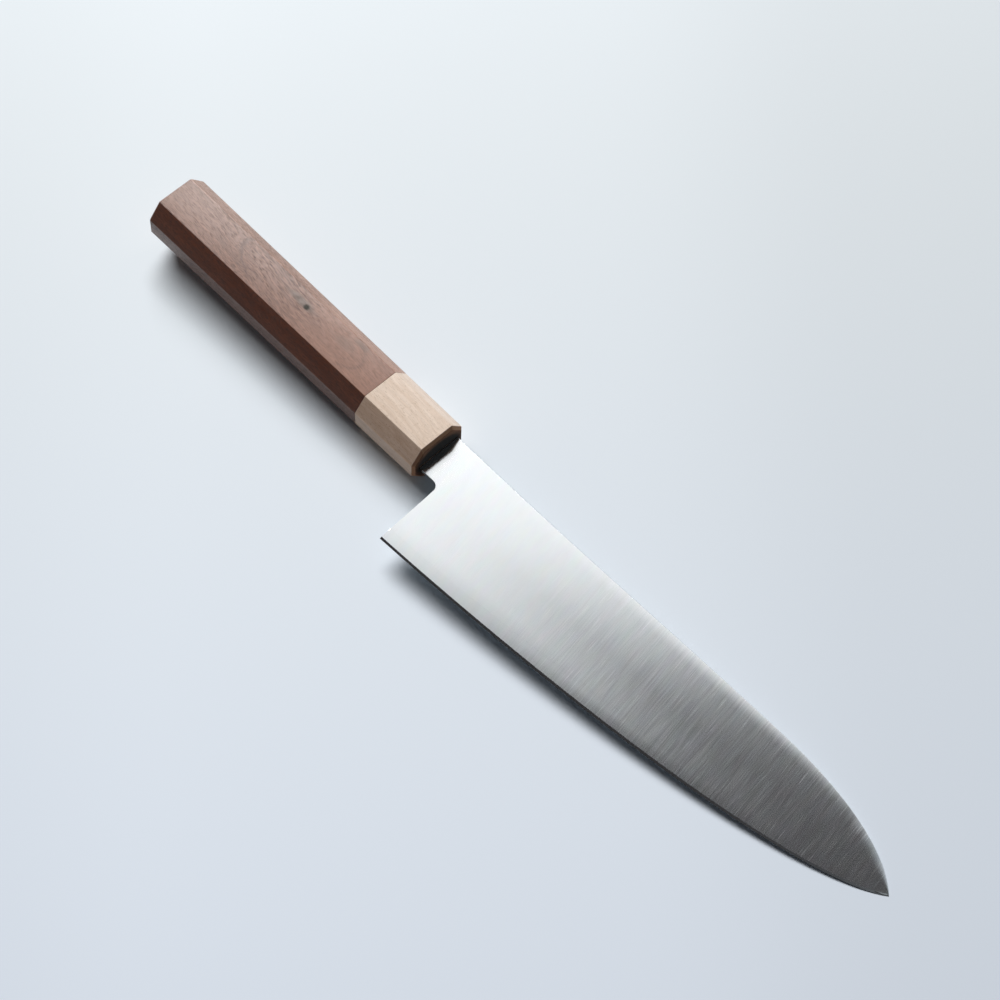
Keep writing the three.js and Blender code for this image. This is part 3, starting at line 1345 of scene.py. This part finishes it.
    def build_cladding(self, side: Side, axes: KnifeAxes, material: bpy.types.Material) -> bpy.types.Object:
        """Builds and dresses the cladding of one face.

        Args:
            side: The face.
            axes: The knife's axes.
            material: The cladding's material.

        Returns:
            The cladding's object.
        """
        stations = self.stations()
        rings = [ring for ring in map(self.cladding_ring, stations) if ring]
        top = stations[len(rings)].upper
        end = Vector((*top, self.weld(top.x)))
        rings.append([end] * len(rings[0]))
        if side is Side.LEFT:
            rings = [[Vector((place.x, place.y, -place.z)) for place in reversed(ring)] for ring in rings]
        return skin(f"{side.name.lower()}_cladding_layer", rings, axes, material)


def captured(graph: Graph, geometry: Signal, name: str) -> tuple[Signal, Signal]:
    """Keeps each point's place as an attribute that outlives a sweep.

    Args:
        graph: The geometry tree's graph.
        geometry: The curve whose points are kept.
        name: What the attribute is called.

    Returns:
        The curve, and the kept places.
    """
    node = graph.node("GeometryNodeCaptureAttribute")
    node.capture_items.new("VECTOR", name)
    graph.feed(node.inputs["Geometry"], geometry)
    place = graph.output("GeometryNodeInputPosition", {})
    graph.feed(node.inputs[name], place)
    return Signal(graph, node.outputs["Geometry"]), Signal(graph, node.outputs[name])


@dataclass(frozen=True)
class Section:
    """The octagon's full height and thickness at one end of the handle, and how much its corners take off."""

    height: float
    thickness: float
    bevel_height: float
    bevel_thickness: float


class Cut(Enum):
    """What is bored or slotted out of the handle."""

    ROD = "rod"
    BAR = "bar"


@dataclass
class Handle:
    """The tapered octagonal handle: a walnut grip and a pale ferrule, both bored for the dowel."""

    front: Section = Section(23.7, 18.7, 4.8, 6.0)
    butt: Section = Section(25.3, 20.1, 5.3, 6.4)
    ferrule_length: float = 30.0
    grip_length: float = 110.0
    glue_line: float = 0.1
    ferrule_chamfer: float = 1.2
    butt_chamfer: float = 0.6
    joint_chamfer: float = 0.05
    arris: float = 0.35
    arris_steps: int = 4
    length_stations: int = 24
    dowel_radius: float = 6.67
    dowel_front: float = -8.0
    dowel_end: float = -96.8
    neck_height: float = Blade.neck_height
    stock_thickness: float = Blade.stock_thickness
    seal_width: float = 0.9
    seal_depth: float = 1.5
    bore_sides: int = 64
    overcut: float = 1.0

    @property
    def joint(self) -> float:
        """Where the ferrule ends, along X."""
        return -self.ferrule_length

    @property
    def butt_reach(self) -> float:
        """How far the butt lies behind the ferrule's front face."""
        return self.ferrule_length + self.glue_line + self.grip_length

    def loft_tree(self) -> bpy.types.NodeTree:
        """The geometry tree that draws a length of the handle.

        An octagon with eased corners is swept along X, then drawn out to the handle's taper and drawn in at
        the two end chamfers, and a cutter is taken out of it.

        Returns:
            The tree.
        """
        inputs = {
            "Rear": FLOAT,
            "Front": FLOAT,
            "Rear Chamfer": FLOAT,
            "Front Chamfer": FLOAT,
            "Half Height": FLOAT,
            "Half Thickness": FLOAT,
            "Flat Height": FLOAT,
            "Flat Thickness": FLOAT,
            "Height Taper": FLOAT,
            "Thickness Taper": FLOAT,
            "Arris": FLOAT,
            "Arris Steps": "NodeSocketInt",
            "Stations": "NodeSocketInt",
            "Cutter": "NodeSocketObject",
            "Material": "NodeSocketMaterial",
        }
        outputs = {"Geometry": "NodeSocketGeometry"}
        graph, given = new_group("octagon_loft", "GeometryNodeTree", inputs, outputs)
        profile, around = self._octagon(graph, given)
        path, along = self._path(graph, given)
        curves = {"Curve": path, "Profile Curve": profile, "Fill Caps": True}
        swept = graph.output("GeometryNodeCurveToMesh", curves)
        place = self._place(graph, given, around, along)
        placed = graph.output("GeometryNodeSetPosition", {"Geometry": swept, "Position": place})
        cutter = graph.output("GeometryNodeObjectInfo", {"Object": given["Cutter"]}, "Geometry")
        bored = graph.node("GeometryNodeMeshBoolean", operation="DIFFERENCE", solver="EXACT")
        graph.feed(bored.inputs["Mesh 1"], placed)
        graph.feed(bored.inputs["Mesh 2"], cutter)
        real = graph.output("GeometryNodeRealizeInstances", {"Geometry": bored.outputs["Mesh"]})
        material = given["Material"]
        dressed = graph.output("GeometryNodeSetMaterial", {"Geometry": real, "Material": material})
        return close_group(graph, {"Geometry": dressed})

    @staticmethod
    def _octagon(graph: Graph, given: dict[str, Signal]) -> tuple[Signal, Signal]:
        """Draws the eased octagon.

        Args:
            graph: The geometry tree's graph.
            given: The tree's inputs.

        Returns:
            The octagon as a closed curve, and each point's place in it.
        """
        circle = graph.output("GeometryNodeMeshCircle", {"Vertices": 8})
        index = graph.output("GeometryNodeInputIndex", {})
        angle = (index + 0.5) * (math.pi / 4.0)
        cosine = angle.call("COSINE")
        sine = angle.call("SINE")
        upright = abs(cosine).call("GREATER_THAN", abs(sine))
        height = upright * (given["Half Height"] - given["Flat Height"]) + given["Flat Height"]
        thickness = upright * (given["Flat Thickness"] - given["Half Thickness"]) + given["Half Thickness"]
        corner = graph.join(cosine.call("SIGN") * height, sine.call("SIGN") * thickness, 0.0)
        placed = graph.output("GeometryNodeSetPosition", {"Geometry": circle, "Position": corner})
        curve = graph.output("GeometryNodeMeshToCurve", {"Mesh": placed})
        eased = graph.output(
            "GeometryNodeFilletCurve",
            {"Curve": curve, "Radius": given["Arris"], "Count": given["Arris Steps"]},
            mode="POLY",
        )
        return captured(graph, eased, "around")

    @staticmethod
    def _path(graph: Graph, given: dict[str, Signal]) -> tuple[Signal, Signal]:
        """Draws the handle's axis, with a point at each end of both chamfers.

        Args:
            graph: The geometry tree's graph.
            given: The tree's inputs.

        Returns:
            The axis as a curve, and each point's place on it.
        """
        line = graph.output("GeometryNodeMeshLine", {"Count": given["Stations"]})
        index = graph.output("GeometryNodeInputIndex", {})
        last = given["Stations"] - 1.0
        share = ((index - 1.0) / (last - 2.0)).call("MINIMUM", 1.0).call("MAXIMUM", 0.0)
        rear = given["Rear"] + given["Rear Chamfer"]
        front = given["Front"] - given["Front Chamfer"]
        at_rear = index.call("LESS_THAN", 0.5) * given["Rear Chamfer"]
        at_front = index.call("GREATER_THAN", last - 0.5) * given["Front Chamfer"]
        x = share * (front - rear) + rear - at_rear + at_front
        on_axis = graph.join(x, 0.0, 0.0)
        placed = graph.output("GeometryNodeSetPosition", {"Geometry": line, "Position": on_axis})
        curve = graph.output("GeometryNodeMeshToCurve", {"Mesh": placed})
        return captured(graph, curve, "along")

    @staticmethod
    def _place(graph: Graph, given: dict[str, Signal], around: Signal, along: Signal) -> Signal:
        """Where a point of the octagon lies at a place along the handle.

        Args:
            graph: The geometry tree's graph.
            given: The tree's inputs.
            around: The point's place in the octagon.
            along: The place on the axis.

        Returns:
            The point's place in the handle.
        """
        height, thickness, _ = graph.split(around)
        x, _, _ = graph.split(along)
        inset_rear = (given["Rear"] + given["Rear Chamfer"] - x).call("MAXIMUM", 0.0)
        inset_front = (x - given["Front"] + given["Front Chamfer"]).call("MAXIMUM", 0.0)
        inset = inset_rear + inset_front
        half_height = given["Half Height"] + x * given["Height Taper"]
        half_thickness = given["Half Thickness"] + x * given["Thickness Taper"]
        y = height / given["Half Height"] * (half_height - inset)
        z = thickness / given["Half Thickness"] * (half_thickness - inset)
        return graph.join(x, y, z)

    def cutter(self, solids: list[tuple[Cut, tuple[float, ...]]]) -> bpy.types.Object:
        """Rods and bars to take out of a piece, as one object of closed shells.

        Args:
            solids: Each a shape with its rear, its front, and a rod's radius or a bar's height and thickness.

        Returns:
            The cutter's object.
        """
        builder = bmesh.new()
        for shape, (rear, front, *sizes) in solids:
            middle = Matrix.Translation(((rear + front) / 2.0, 0.0, 0.0))
            if shape is Cut.ROD:
                turn = Matrix.Rotation(math.pi / 2.0, 4, "Y")
                bmesh.ops.create_cone(
                    builder,
                    cap_ends=True,
                    segments=self.bore_sides,
                    radius1=sizes[0],
                    radius2=sizes[0],
                    depth=front - rear,
                    matrix=middle @ turn,
                )
            else:
                stretch = Matrix.Diagonal((front - rear, *sizes, 1.0))
                bmesh.ops.create_cube(builder, size=1.0, matrix=middle @ stretch)
        mesh = bpy.data.meshes.new("cutter")
        builder.to_mesh(mesh)
        builder.free()
        return finish_object("cutter", mesh)

    def loft(
        self,
        name: str,
        tree: bpy.types.NodeTree,
        ends: dict[str, float],
        cutter: bpy.types.Object,
        axes: KnifeAxes,
        material: bpy.types.Material,
    ) -> bpy.types.Object:
        """Draws one length of the handle with the geometry tree and makes it a plain mesh.

        Args:
            name: The piece's name.
            tree: The geometry tree.
            ends: Where the piece starts and ends, and its two chamfers.
            cutter: What is taken out of it. It is deleted afterwards.
            axes: The knife's axes.
            material: The piece's material.

        Returns:
            The piece's object.
        """
        front, butt = self.front, self.butt
        values = {
            **ends,
            "Half Height": front.height / 2.0,
            "Half Thickness": front.thickness / 2.0,
            "Flat Height": front.height / 2.0 - front.bevel_height,
            "Flat Thickness": front.thickness / 2.0 - front.bevel_thickness,
            "Height Taper": (front.height - butt.height) / 2.0 / self.butt_reach,
            "Thickness Taper": (front.thickness - butt.thickness) / 2.0 / self.butt_reach,
            "Arris": self.arris,
            "Arris Steps": self.arris_steps,
            "Stations": self.length_stations,
            "Cutter": cutter,
            "Material": material,
        }
        blank = finish_object(name, bpy.data.meshes.new(f"{name}_blank"))
        modifier = blank.modifiers.new("loft", "NODES")
        modifier.node_group = tree
        for socket in tree.interface.items_tree:
            if socket.in_out == "INPUT":
                modifier[socket.identifier] = values[socket.name]
        graph = bpy.context.evaluated_depsgraph_get()
        mesh = bpy.data.meshes.new_from_object(blank.evaluated_get(graph), depsgraph=graph)
        mesh.name = name
        blank.modifiers.remove(modifier)
        blank.data = mesh
        bpy.data.objects.remove(cutter)
        self._tidy(mesh)
        mesh.transform(axes.to_model())
        return blank

    @staticmethod
    def _tidy(mesh: bpy.types.Mesh) -> None:
        """Merges doubles, turns faces outwards and shades the eased corners smooth.

        Args:
            mesh: The mesh, which is changed.
        """
        builder = bmesh.new()
        builder.from_mesh(mesh)
        bmesh.ops.remove_doubles(builder, verts=builder.verts, dist=MERGE_DISTANCE)
        bmesh.ops.recalc_face_normals(builder, faces=builder.faces)
        for face in builder.faces:
            face.smooth = True
        for edge in builder.edges:
            edge.smooth = edge.is_manifold and edge.calc_face_angle() < SHARP_ANGLE
        builder.to_mesh(mesh)
        builder.free()

    def build_ferrule(
        self, tree: bpy.types.NodeTree, axes: KnifeAxes, material: bpy.types.Material
    ) -> bpy.types.Object:
        """Builds and dresses the ferrule with its bore, the neck's slot and the sealing bead's recess.

        Args:
            tree: The geometry tree.
            axes: The knife's axes.
            material: The piece's material.

        Returns:
            The piece's object.
        """
        slot = (self.dowel_front, self.overcut)
        slot_size = (self.neck_height + 2.0 * self.glue_line, self.stock_thickness + 2.0 * self.glue_line)
        rim = 2.0 * (self.seal_width + 2.0 * self.glue_line)
        recess = (-self.seal_depth - self.glue_line, self.overcut)
        cutter = self.cutter(
            [
                (Cut.ROD, (self.joint - self.overcut, self.dowel_front, self.dowel_radius + self.glue_line)),
                (Cut.BAR, (*slot, *slot_size)),
                (Cut.BAR, (*recess, self.neck_height + rim, self.stock_thickness + rim)),
            ]
        )
        ends = {
            "Rear": self.joint,
            "Front": 0.0,
            "Rear Chamfer": self.joint_chamfer,
            "Front Chamfer": self.ferrule_chamfer,
        }
        return self.loft("ferrule_collar", tree, ends, cutter, axes, material)

    def build_grip(
        self, tree: bpy.types.NodeTree, axes: KnifeAxes, material: bpy.types.Material
    ) -> bpy.types.Object:
        """Builds and dresses the walnut grip with its bore.

        Args:
            tree: The geometry tree.
            axes: The knife's axes.
            material: The piece's material.

        Returns:
            The piece's object.
        """
        front = self.joint - self.glue_line
        bore = (self.dowel_end - self.glue_line, front + self.overcut, self.dowel_radius + self.glue_line)
        ends = {
            "Rear": -self.butt_reach,
            "Front": front,
            "Rear Chamfer": self.butt_chamfer,
            "Front Chamfer": self.joint_chamfer,
        }
        return self.loft("walnut_grip", tree, ends, self.cutter([(Cut.ROD, bore)]), axes, material)


@dataclass(frozen=True)
class Panel:
    """A level light panel, by the directions that border it as seen from the knife.

    A border is the tangent of its direction's angle from straight up: near and far along the panel's own
    bearing, and rear and front across it.
    """

    name: str
    near: float
    far: float
    rear: float
    front: float
    radiance: float

    def hang(self, height: float, bearing: float) -> None:
        """Hangs the panel over the table, facing down.

        Args:
            height: Its height in metres.
            bearing: How far its bearing turns from -X to +Y, in degrees.
        """
        lamp = bpy.data.lights.new(self.name, "AREA")
        lamp.shape = "RECTANGLE"
        lamp.size = (self.far - self.near) * height
        lamp.size_y = (self.front - self.rear) * height
        lamp.energy = math.pi * self.radiance * lamp.size * lamp.size_y
        turn = Matrix.Rotation(math.radians(-bearing), 4, "Z")
        middle = Vector((-(self.near + self.far) / 2.0, (self.rear + self.front) / 2.0, 1.0)) * height
        panel = bpy.data.objects.new(self.name, lamp)
        panel.matrix_world = turn @ Matrix.Translation(middle)
        bpy.context.scene.collection.objects.link(panel)


@dataclass(frozen=True)
class Backdrop:
    """The room that gloss mirrors: pale all round, with a bright field along the panel and a dark gap by it.

    Borders are tangents of a direction's angle from straight up, along the panel's bearing or to either
    side of a middle line across it. Low directions towards the belly and the butt are dark.
    """

    pale: Colour = (0.72, 0.77, 0.82)
    bright: Colour = (1.41, 1.395, 1.4)
    dark: Colour = (0.08, 0.074, 0.077)
    gap_from: float = 0.0
    gap_full: float = 0.2
    field_from: float = 0.3645
    field_full: float = 0.4635
    field_fade: float = 0.9
    field_end: float = 1.3
    gap_middle: float = -0.02
    gap_half: float = 0.28
    gap_half_end: float = 0.74
    field_middle: float = 0.2
    field_half: float = 0.7
    field_half_end: float = 1.0
    low_from: float = 0.6
    low_full: float = 0.34
    belly_from: float = -0.4
    belly_full: float = -0.75
    rear_from: float = 0.1
    rear_full: float = -0.25
    level: float = 0.05

    def colour(self, graph: Graph, direction: Signal, bearing: float) -> Signal:
        """The backdrop's colour in a direction.

        Args:
            graph: The world's graph.
            direction: The direction, of length 1.
            bearing: How far the panel's bearing turns from -X to +Y, in degrees.

        Returns:
            The colour.
        """
        x, y, z = graph.split(direction)
        up = z.call("MAXIMUM", self.level)
        cosine, sine = math.cos(math.radians(bearing)), math.sin(math.radians(bearing))
        along = (y * sine - x * cosine) / up
        across = (x * sine + y * cosine) / up
        risen = along.ramp(self.field_from, self.field_full)
        aside = abs(across - self.field_middle).ramp(self.field_half_end, self.field_half)
        field = risen * along.ramp(self.field_end, self.field_fade) * aside
        aside = abs(across - self.gap_middle).ramp(self.gap_half_end, self.gap_half)
        gap = along.ramp(self.gap_from, self.gap_full) * aside
        low = z.ramp(self.low_from, self.low_full) * y.ramp(self.belly_from, self.belly_full)
        low = low * x.ramp(self.rear_from, self.rear_full) * z.ramp(0.0, self.level)
        colour = graph.blend(low, self.pale, self.dark)
        colour = graph.blend(gap * along.ramp(self.field_full, self.field_from), colour, self.dark)
        return graph.blend(field, colour, self.bright)


@dataclass(frozen=True)
class Studio:
    """The photograph's viewpoint, a pale table, a light panel and the room round them.

    Lengths are in metres and angles in degrees.
    """

    focal_pixels: float = 3017.4
    frame_pixels: float = 1000.0
    sensor_width: float = 36.0
    elevation: float = 59.219
    azimuth: float = 46.967
    roll: float = -0.291
    distance: float = 1.04711
    target: tuple[float, float, float] = (-0.01467, 0.01876, 0.0)
    table_size: float = 1.8
    table_fade_from: float = 0.34
    table_fade_to: float = 0.64
    # painted light: the table is paler and bluer towards the camera, greyer away from it
    table_far_colour: Colour = (0.725, 0.77, 0.80)
    table_near_colour: Colour = (0.795, 0.86, 0.95)
    table_drift: float = 0.21
    # painted shade to either side of a middle band across the view
    table_side_painted_shade: Colour = (0.94, 0.94, 0.94)
    table_middle: float = -0.03
    table_side_shade_from: float = 0.07
    table_side_shade_to: float = 0.17
    panel_height: float = 2.0
    panel_bearing: float = 30.0
    panel: Panel = Panel("key_panel", near=0.66, far=1.7, rear=-0.7, front=0.38, radiance=13.3)
    backdrop: Backdrop = Backdrop()
    room_colour: Colour = (0.048, 0.05, 0.0525)

    def build(self) -> None:
        """Sets the camera, the table, the light and the plain colour view."""
        self._camera()
        self._table()
        self.panel.hang(self.panel_height, self.panel_bearing)
        self._room()
        bpy.context.scene.view_settings.view_transform = "Standard"

    def _camera(self) -> None:
        """Places the camera that the photograph was taken with."""
        azimuth, elevation = math.radians(self.azimuth), math.radians(self.elevation)
        level = math.cos(elevation)
        back = Vector((math.sin(azimuth) * level, -math.cos(azimuth) * level, math.sin(elevation)))
        right = Vector((math.cos(azimuth), math.sin(azimuth), 0.0))
        axes = Matrix((right, back.cross(right), back)).transposed()
        turn = axes @ Matrix.Rotation(math.radians(self.roll), 3, "Z")
        data = bpy.data.cameras.new("camera")
        data.sensor_width = self.sensor_width
        data.lens = self.focal_pixels / self.frame_pixels * self.sensor_width
        camera = bpy.data.objects.new("camera", data)
        stand = Vector(self.target) + back * self.distance
        camera.matrix_world = Matrix.Translation(stand) @ turn.to_4x4()
        bpy.context.scene.collection.objects.link(camera)
        bpy.context.scene.camera = camera

    def _table(self) -> None:
        """Lays the table under the knife, with painted light and shade across it, fading into the room far
        out.
        """
        builder = bmesh.new()
        bmesh.ops.create_grid(builder, x_segments=1, y_segments=1, size=self.table_size / 2.0)
        mesh = bpy.data.meshes.new("table")
        builder.to_mesh(mesh)
        builder.free()
        material = bpy.data.materials.new("table_paint")
        material.use_nodes = True
        graph = Graph(material.node_tree)
        shader = graph.shader()
        place = graph.output("ShaderNodeTexCoord", {}, "Object")
        x, y, _ = graph.split(place)
        azimuth = math.radians(self.azimuth)
        # painted light along the view, paler and bluer towards the camera
        away = y * math.cos(azimuth) - x * math.sin(azimuth)
        drift = away.ramp(-self.table_drift, self.table_drift)
        colour = graph.blend(drift, self.table_near_colour, self.table_far_colour)
        # painted shade towards either side of the view
        aside = abs(x * math.cos(azimuth) + y * math.sin(azimuth) - self.table_middle)
        side_shaded = aside.ramp(self.table_side_shade_from, self.table_side_shade_to)
        rim = graph.blend(side_shaded, WHITE, self.table_side_painted_shade)
        graph.feed(shader.inputs["Base Color"], graph.multiplied(colour, rim))
        shader.inputs["Roughness"].default_value = 1.0
        shader.inputs["Specular IOR Level"].default_value = 0.0
        distance = graph.output("ShaderNodeVectorMath", {0: place}, "Value", operation="LENGTH")
        faded = graph.node("ShaderNodeMixShader")
        graph.feed(faded.inputs[0], distance.ramp(self.table_fade_from, self.table_fade_to))
        graph.feed(faded.inputs[1], shader.outputs[0])
        graph.feed(faded.inputs[2], graph.node("ShaderNodeBsdfTransparent").outputs[0])
        output = next(node for node in graph.tree.nodes if node.type == "OUTPUT_MATERIAL")
        graph.feed(output.inputs["Surface"], faded.outputs[0])
        finish_object("table", mesh, material)

    def _room(self) -> None:
        """Gives the room a dim even tone, and the backdrop that the camera and the gloss see."""
        world = bpy.data.worlds.new("room")
        world.use_nodes = True
        graph = Graph(world.node_tree)
        direction = graph.output("ShaderNodeTexCoord", {}, "Generated")
        ray = graph.node("ShaderNodeLightPath")
        kinds = ("Is Camera Ray", "Is Glossy Ray", "Is Transmission Ray")
        seen, glossy, clear = (Signal(graph, ray.outputs[kind]) for kind in kinds)
        seen = (seen + glossy + clear).call("MINIMUM", 1.0)
        backdrop = self.backdrop.colour(graph, direction, self.panel_bearing)
        graph.feed(graph.shader().inputs["Color"], graph.blend(seen, self.room_colour, backdrop))
        bpy.context.scene.world = world


CLADDING = SteelFinish(
    colour=(0.61, 0.64, 0.65),
    roughness=0.12,
    roughness_spread=0.06,
    line_width=0.4,
    line_length=14.0,
    lean=0.15,
    line_depth=0.0009,
    line_contrast=0.35,
    scratch_contrast=0.12,
    tip_scratch_contrast=0.25,
    lines_from=30.0,
    lines_to=120.0,
    scratches_from=100.0,
    scratches_to=200.0,
    film=0.05,
    anisotropy=0.5,
    # painted reflection of the dark round the cutting bevel
    bevel_painted_dark=(0.3, 0.31, 0.315),
    bevel_roughness=0.1,
)
CORE = replace(CLADDING, colour=(0.6, 0.63, 0.64))
WALNUT = WalnutFinish(
    pale=(0.238, 0.109, 0.065),
    dark=(0.158, 0.067, 0.039),
    pore_colour=(0.06, 0.026, 0.016),
    streak_length=38.0,
    streak_width=1.6,
    pore_length=2.5,
    pore_width=0.21,
    pore_share=0.52,
    pore_strength=0.8,
    fibre_contrast=0.75,
    waviness=4.0,
    lean=0.1,
    roughness=0.32,
    gloss=0.35,
    coat=0.1,
    coat_roughness=0.14,
    pore_depth=0.008,
    # painted shade on the belly facets, painted bounce on the belly's flat side and painted sheen on the
    # spine facets
    belly_painted_shade=(0.5, 0.345, 0.28),
    side_painted_bounce=(1.22, 1.45, 1.55),
    spine_painted_sheen=(1.75, 2.15, 2.5),
)
PALE_WOOD = FerruleFinish(
    pale=(0.7, 0.563, 0.456),
    dark=(0.612, 0.468, 0.358),
    pore_colour=(0.42, 0.3, 0.2),
    streak_length=16.0,
    streak_width=1.3,
    pore_length=1.3,
    pore_width=0.2,
    pore_share=0.27,
    pore_strength=0.8,
    fibre_contrast=0.32,
    waviness=5.0,
    lean=0.05,
    roughness=0.34,
    gloss=0.28,
    coat=0.25,
    coat_roughness=0.14,
    pore_depth=0.01,
    # painted shade on the belly facets, painted bounce on the belly's flat side and painted sheen on the
    # spine facets
    belly_painted_shade=(0.71, 0.63, 0.59),
    side_painted_bounce=(1.22, 1.23, 1.2),
    spine_painted_sheen=(1.15, 1.16, 1.18),
)
DOWEL_WOOD = WoodFinish(
    pale=(0.62, 0.47, 0.29),
    dark=(0.5, 0.36, 0.2),
    pore_colour=(0.34, 0.23, 0.12),
    streak_length=40.0,
    streak_width=1.2,
    pore_length=4.0,
    pore_width=0.2,
    pore_share=0.3,
    pore_strength=0.7,
    fibre_contrast=0.3,
    waviness=2.0,
    lean=0.0,
    roughness=0.6,
    gloss=0.3,
    coat=0.0,
    coat_roughness=0.14,
    pore_depth=0.02,
)
RESIN = CompoundFinish(
    colour=(0.3, 0.21, 0.11),
    cloud_colour=(0.24, 0.165, 0.085),
    roughness=0.4,
    grain=3.0,
    gloss=0.5,
)
SEAL = CompoundFinish(
    colour=(0.012, 0.009, 0.007),
    cloud_colour=(0.016, 0.012, 0.01),
    roughness=0.8,
    grain=0.8,
    gloss=0.12,
)


def fit(piece: bpy.types.Object, node: str) -> None:
    """Keeps a piece inside the CAD model's box, and lets it stand for a CAD node and ride on the knife.

    Args:
        piece: The piece.
        node: The CAD node that it replaces.
    """
    for vertex in piece.data.vertices:
        vertex.co = [min(max(at, low), high) for at, low, high in zip(vertex.co, *cad_box)]
    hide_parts(node)
    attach(piece, BODY)
    log.info("%s stands for %s with %d faces", piece.name, node, len(piece.data.polygons))


def dress_node(node: str, material: bpy.types.Material) -> None:
    """Dresses a CAD node that keeps its own shape.

    Args:
        node: The node's name.
        material: Its material.
    """
    piece = frame["nodes"][node]
    piece.data.materials.clear()
    piece.data.materials.append(material)
    log.info("%s keeps its shape in %s", node, material.name)


def main() -> None:
    """Builds the studio, the blade and the handle in order, and reports each piece."""
    logging.basicConfig(level=logging.INFO, format="%(message)s")
    Studio().build()
    handle = Handle()
    blade = Blade()
    axes = KnifeAxes.from_record(frame["record"], handle.butt_reach)
    bench = Bench(axes, Effects())

    fit(blade.build_core(axes, CORE.material("core_steel", bench)), "blade_core")
    cladding = CLADDING.material("cladding_steel", bench)
    for side in Side:
        node = f"{side.name.lower()}_cladding"
        fit(blade.build_cladding(side, axes, cladding), node)

    tree = handle.loft_tree()
    ferrule = handle.build_ferrule(tree, axes, PALE_WOOD.material("ferrule_wood", bench))
    fit(ferrule, "ferrule")
    grip = handle.build_grip(tree, axes, WALNUT.material("walnut", bench))
    fit(grip, "handle_body")

    dress_node("joining_dowel", DOWEL_WOOD.material("dowel_wood", bench))
    dress_node("tang_bedding", RESIN.material("bedding_resin", bench))
    dress_node("neck_seal", SEAL.material("seal_compound", bench))


if __name__ == "__main__":
    main()
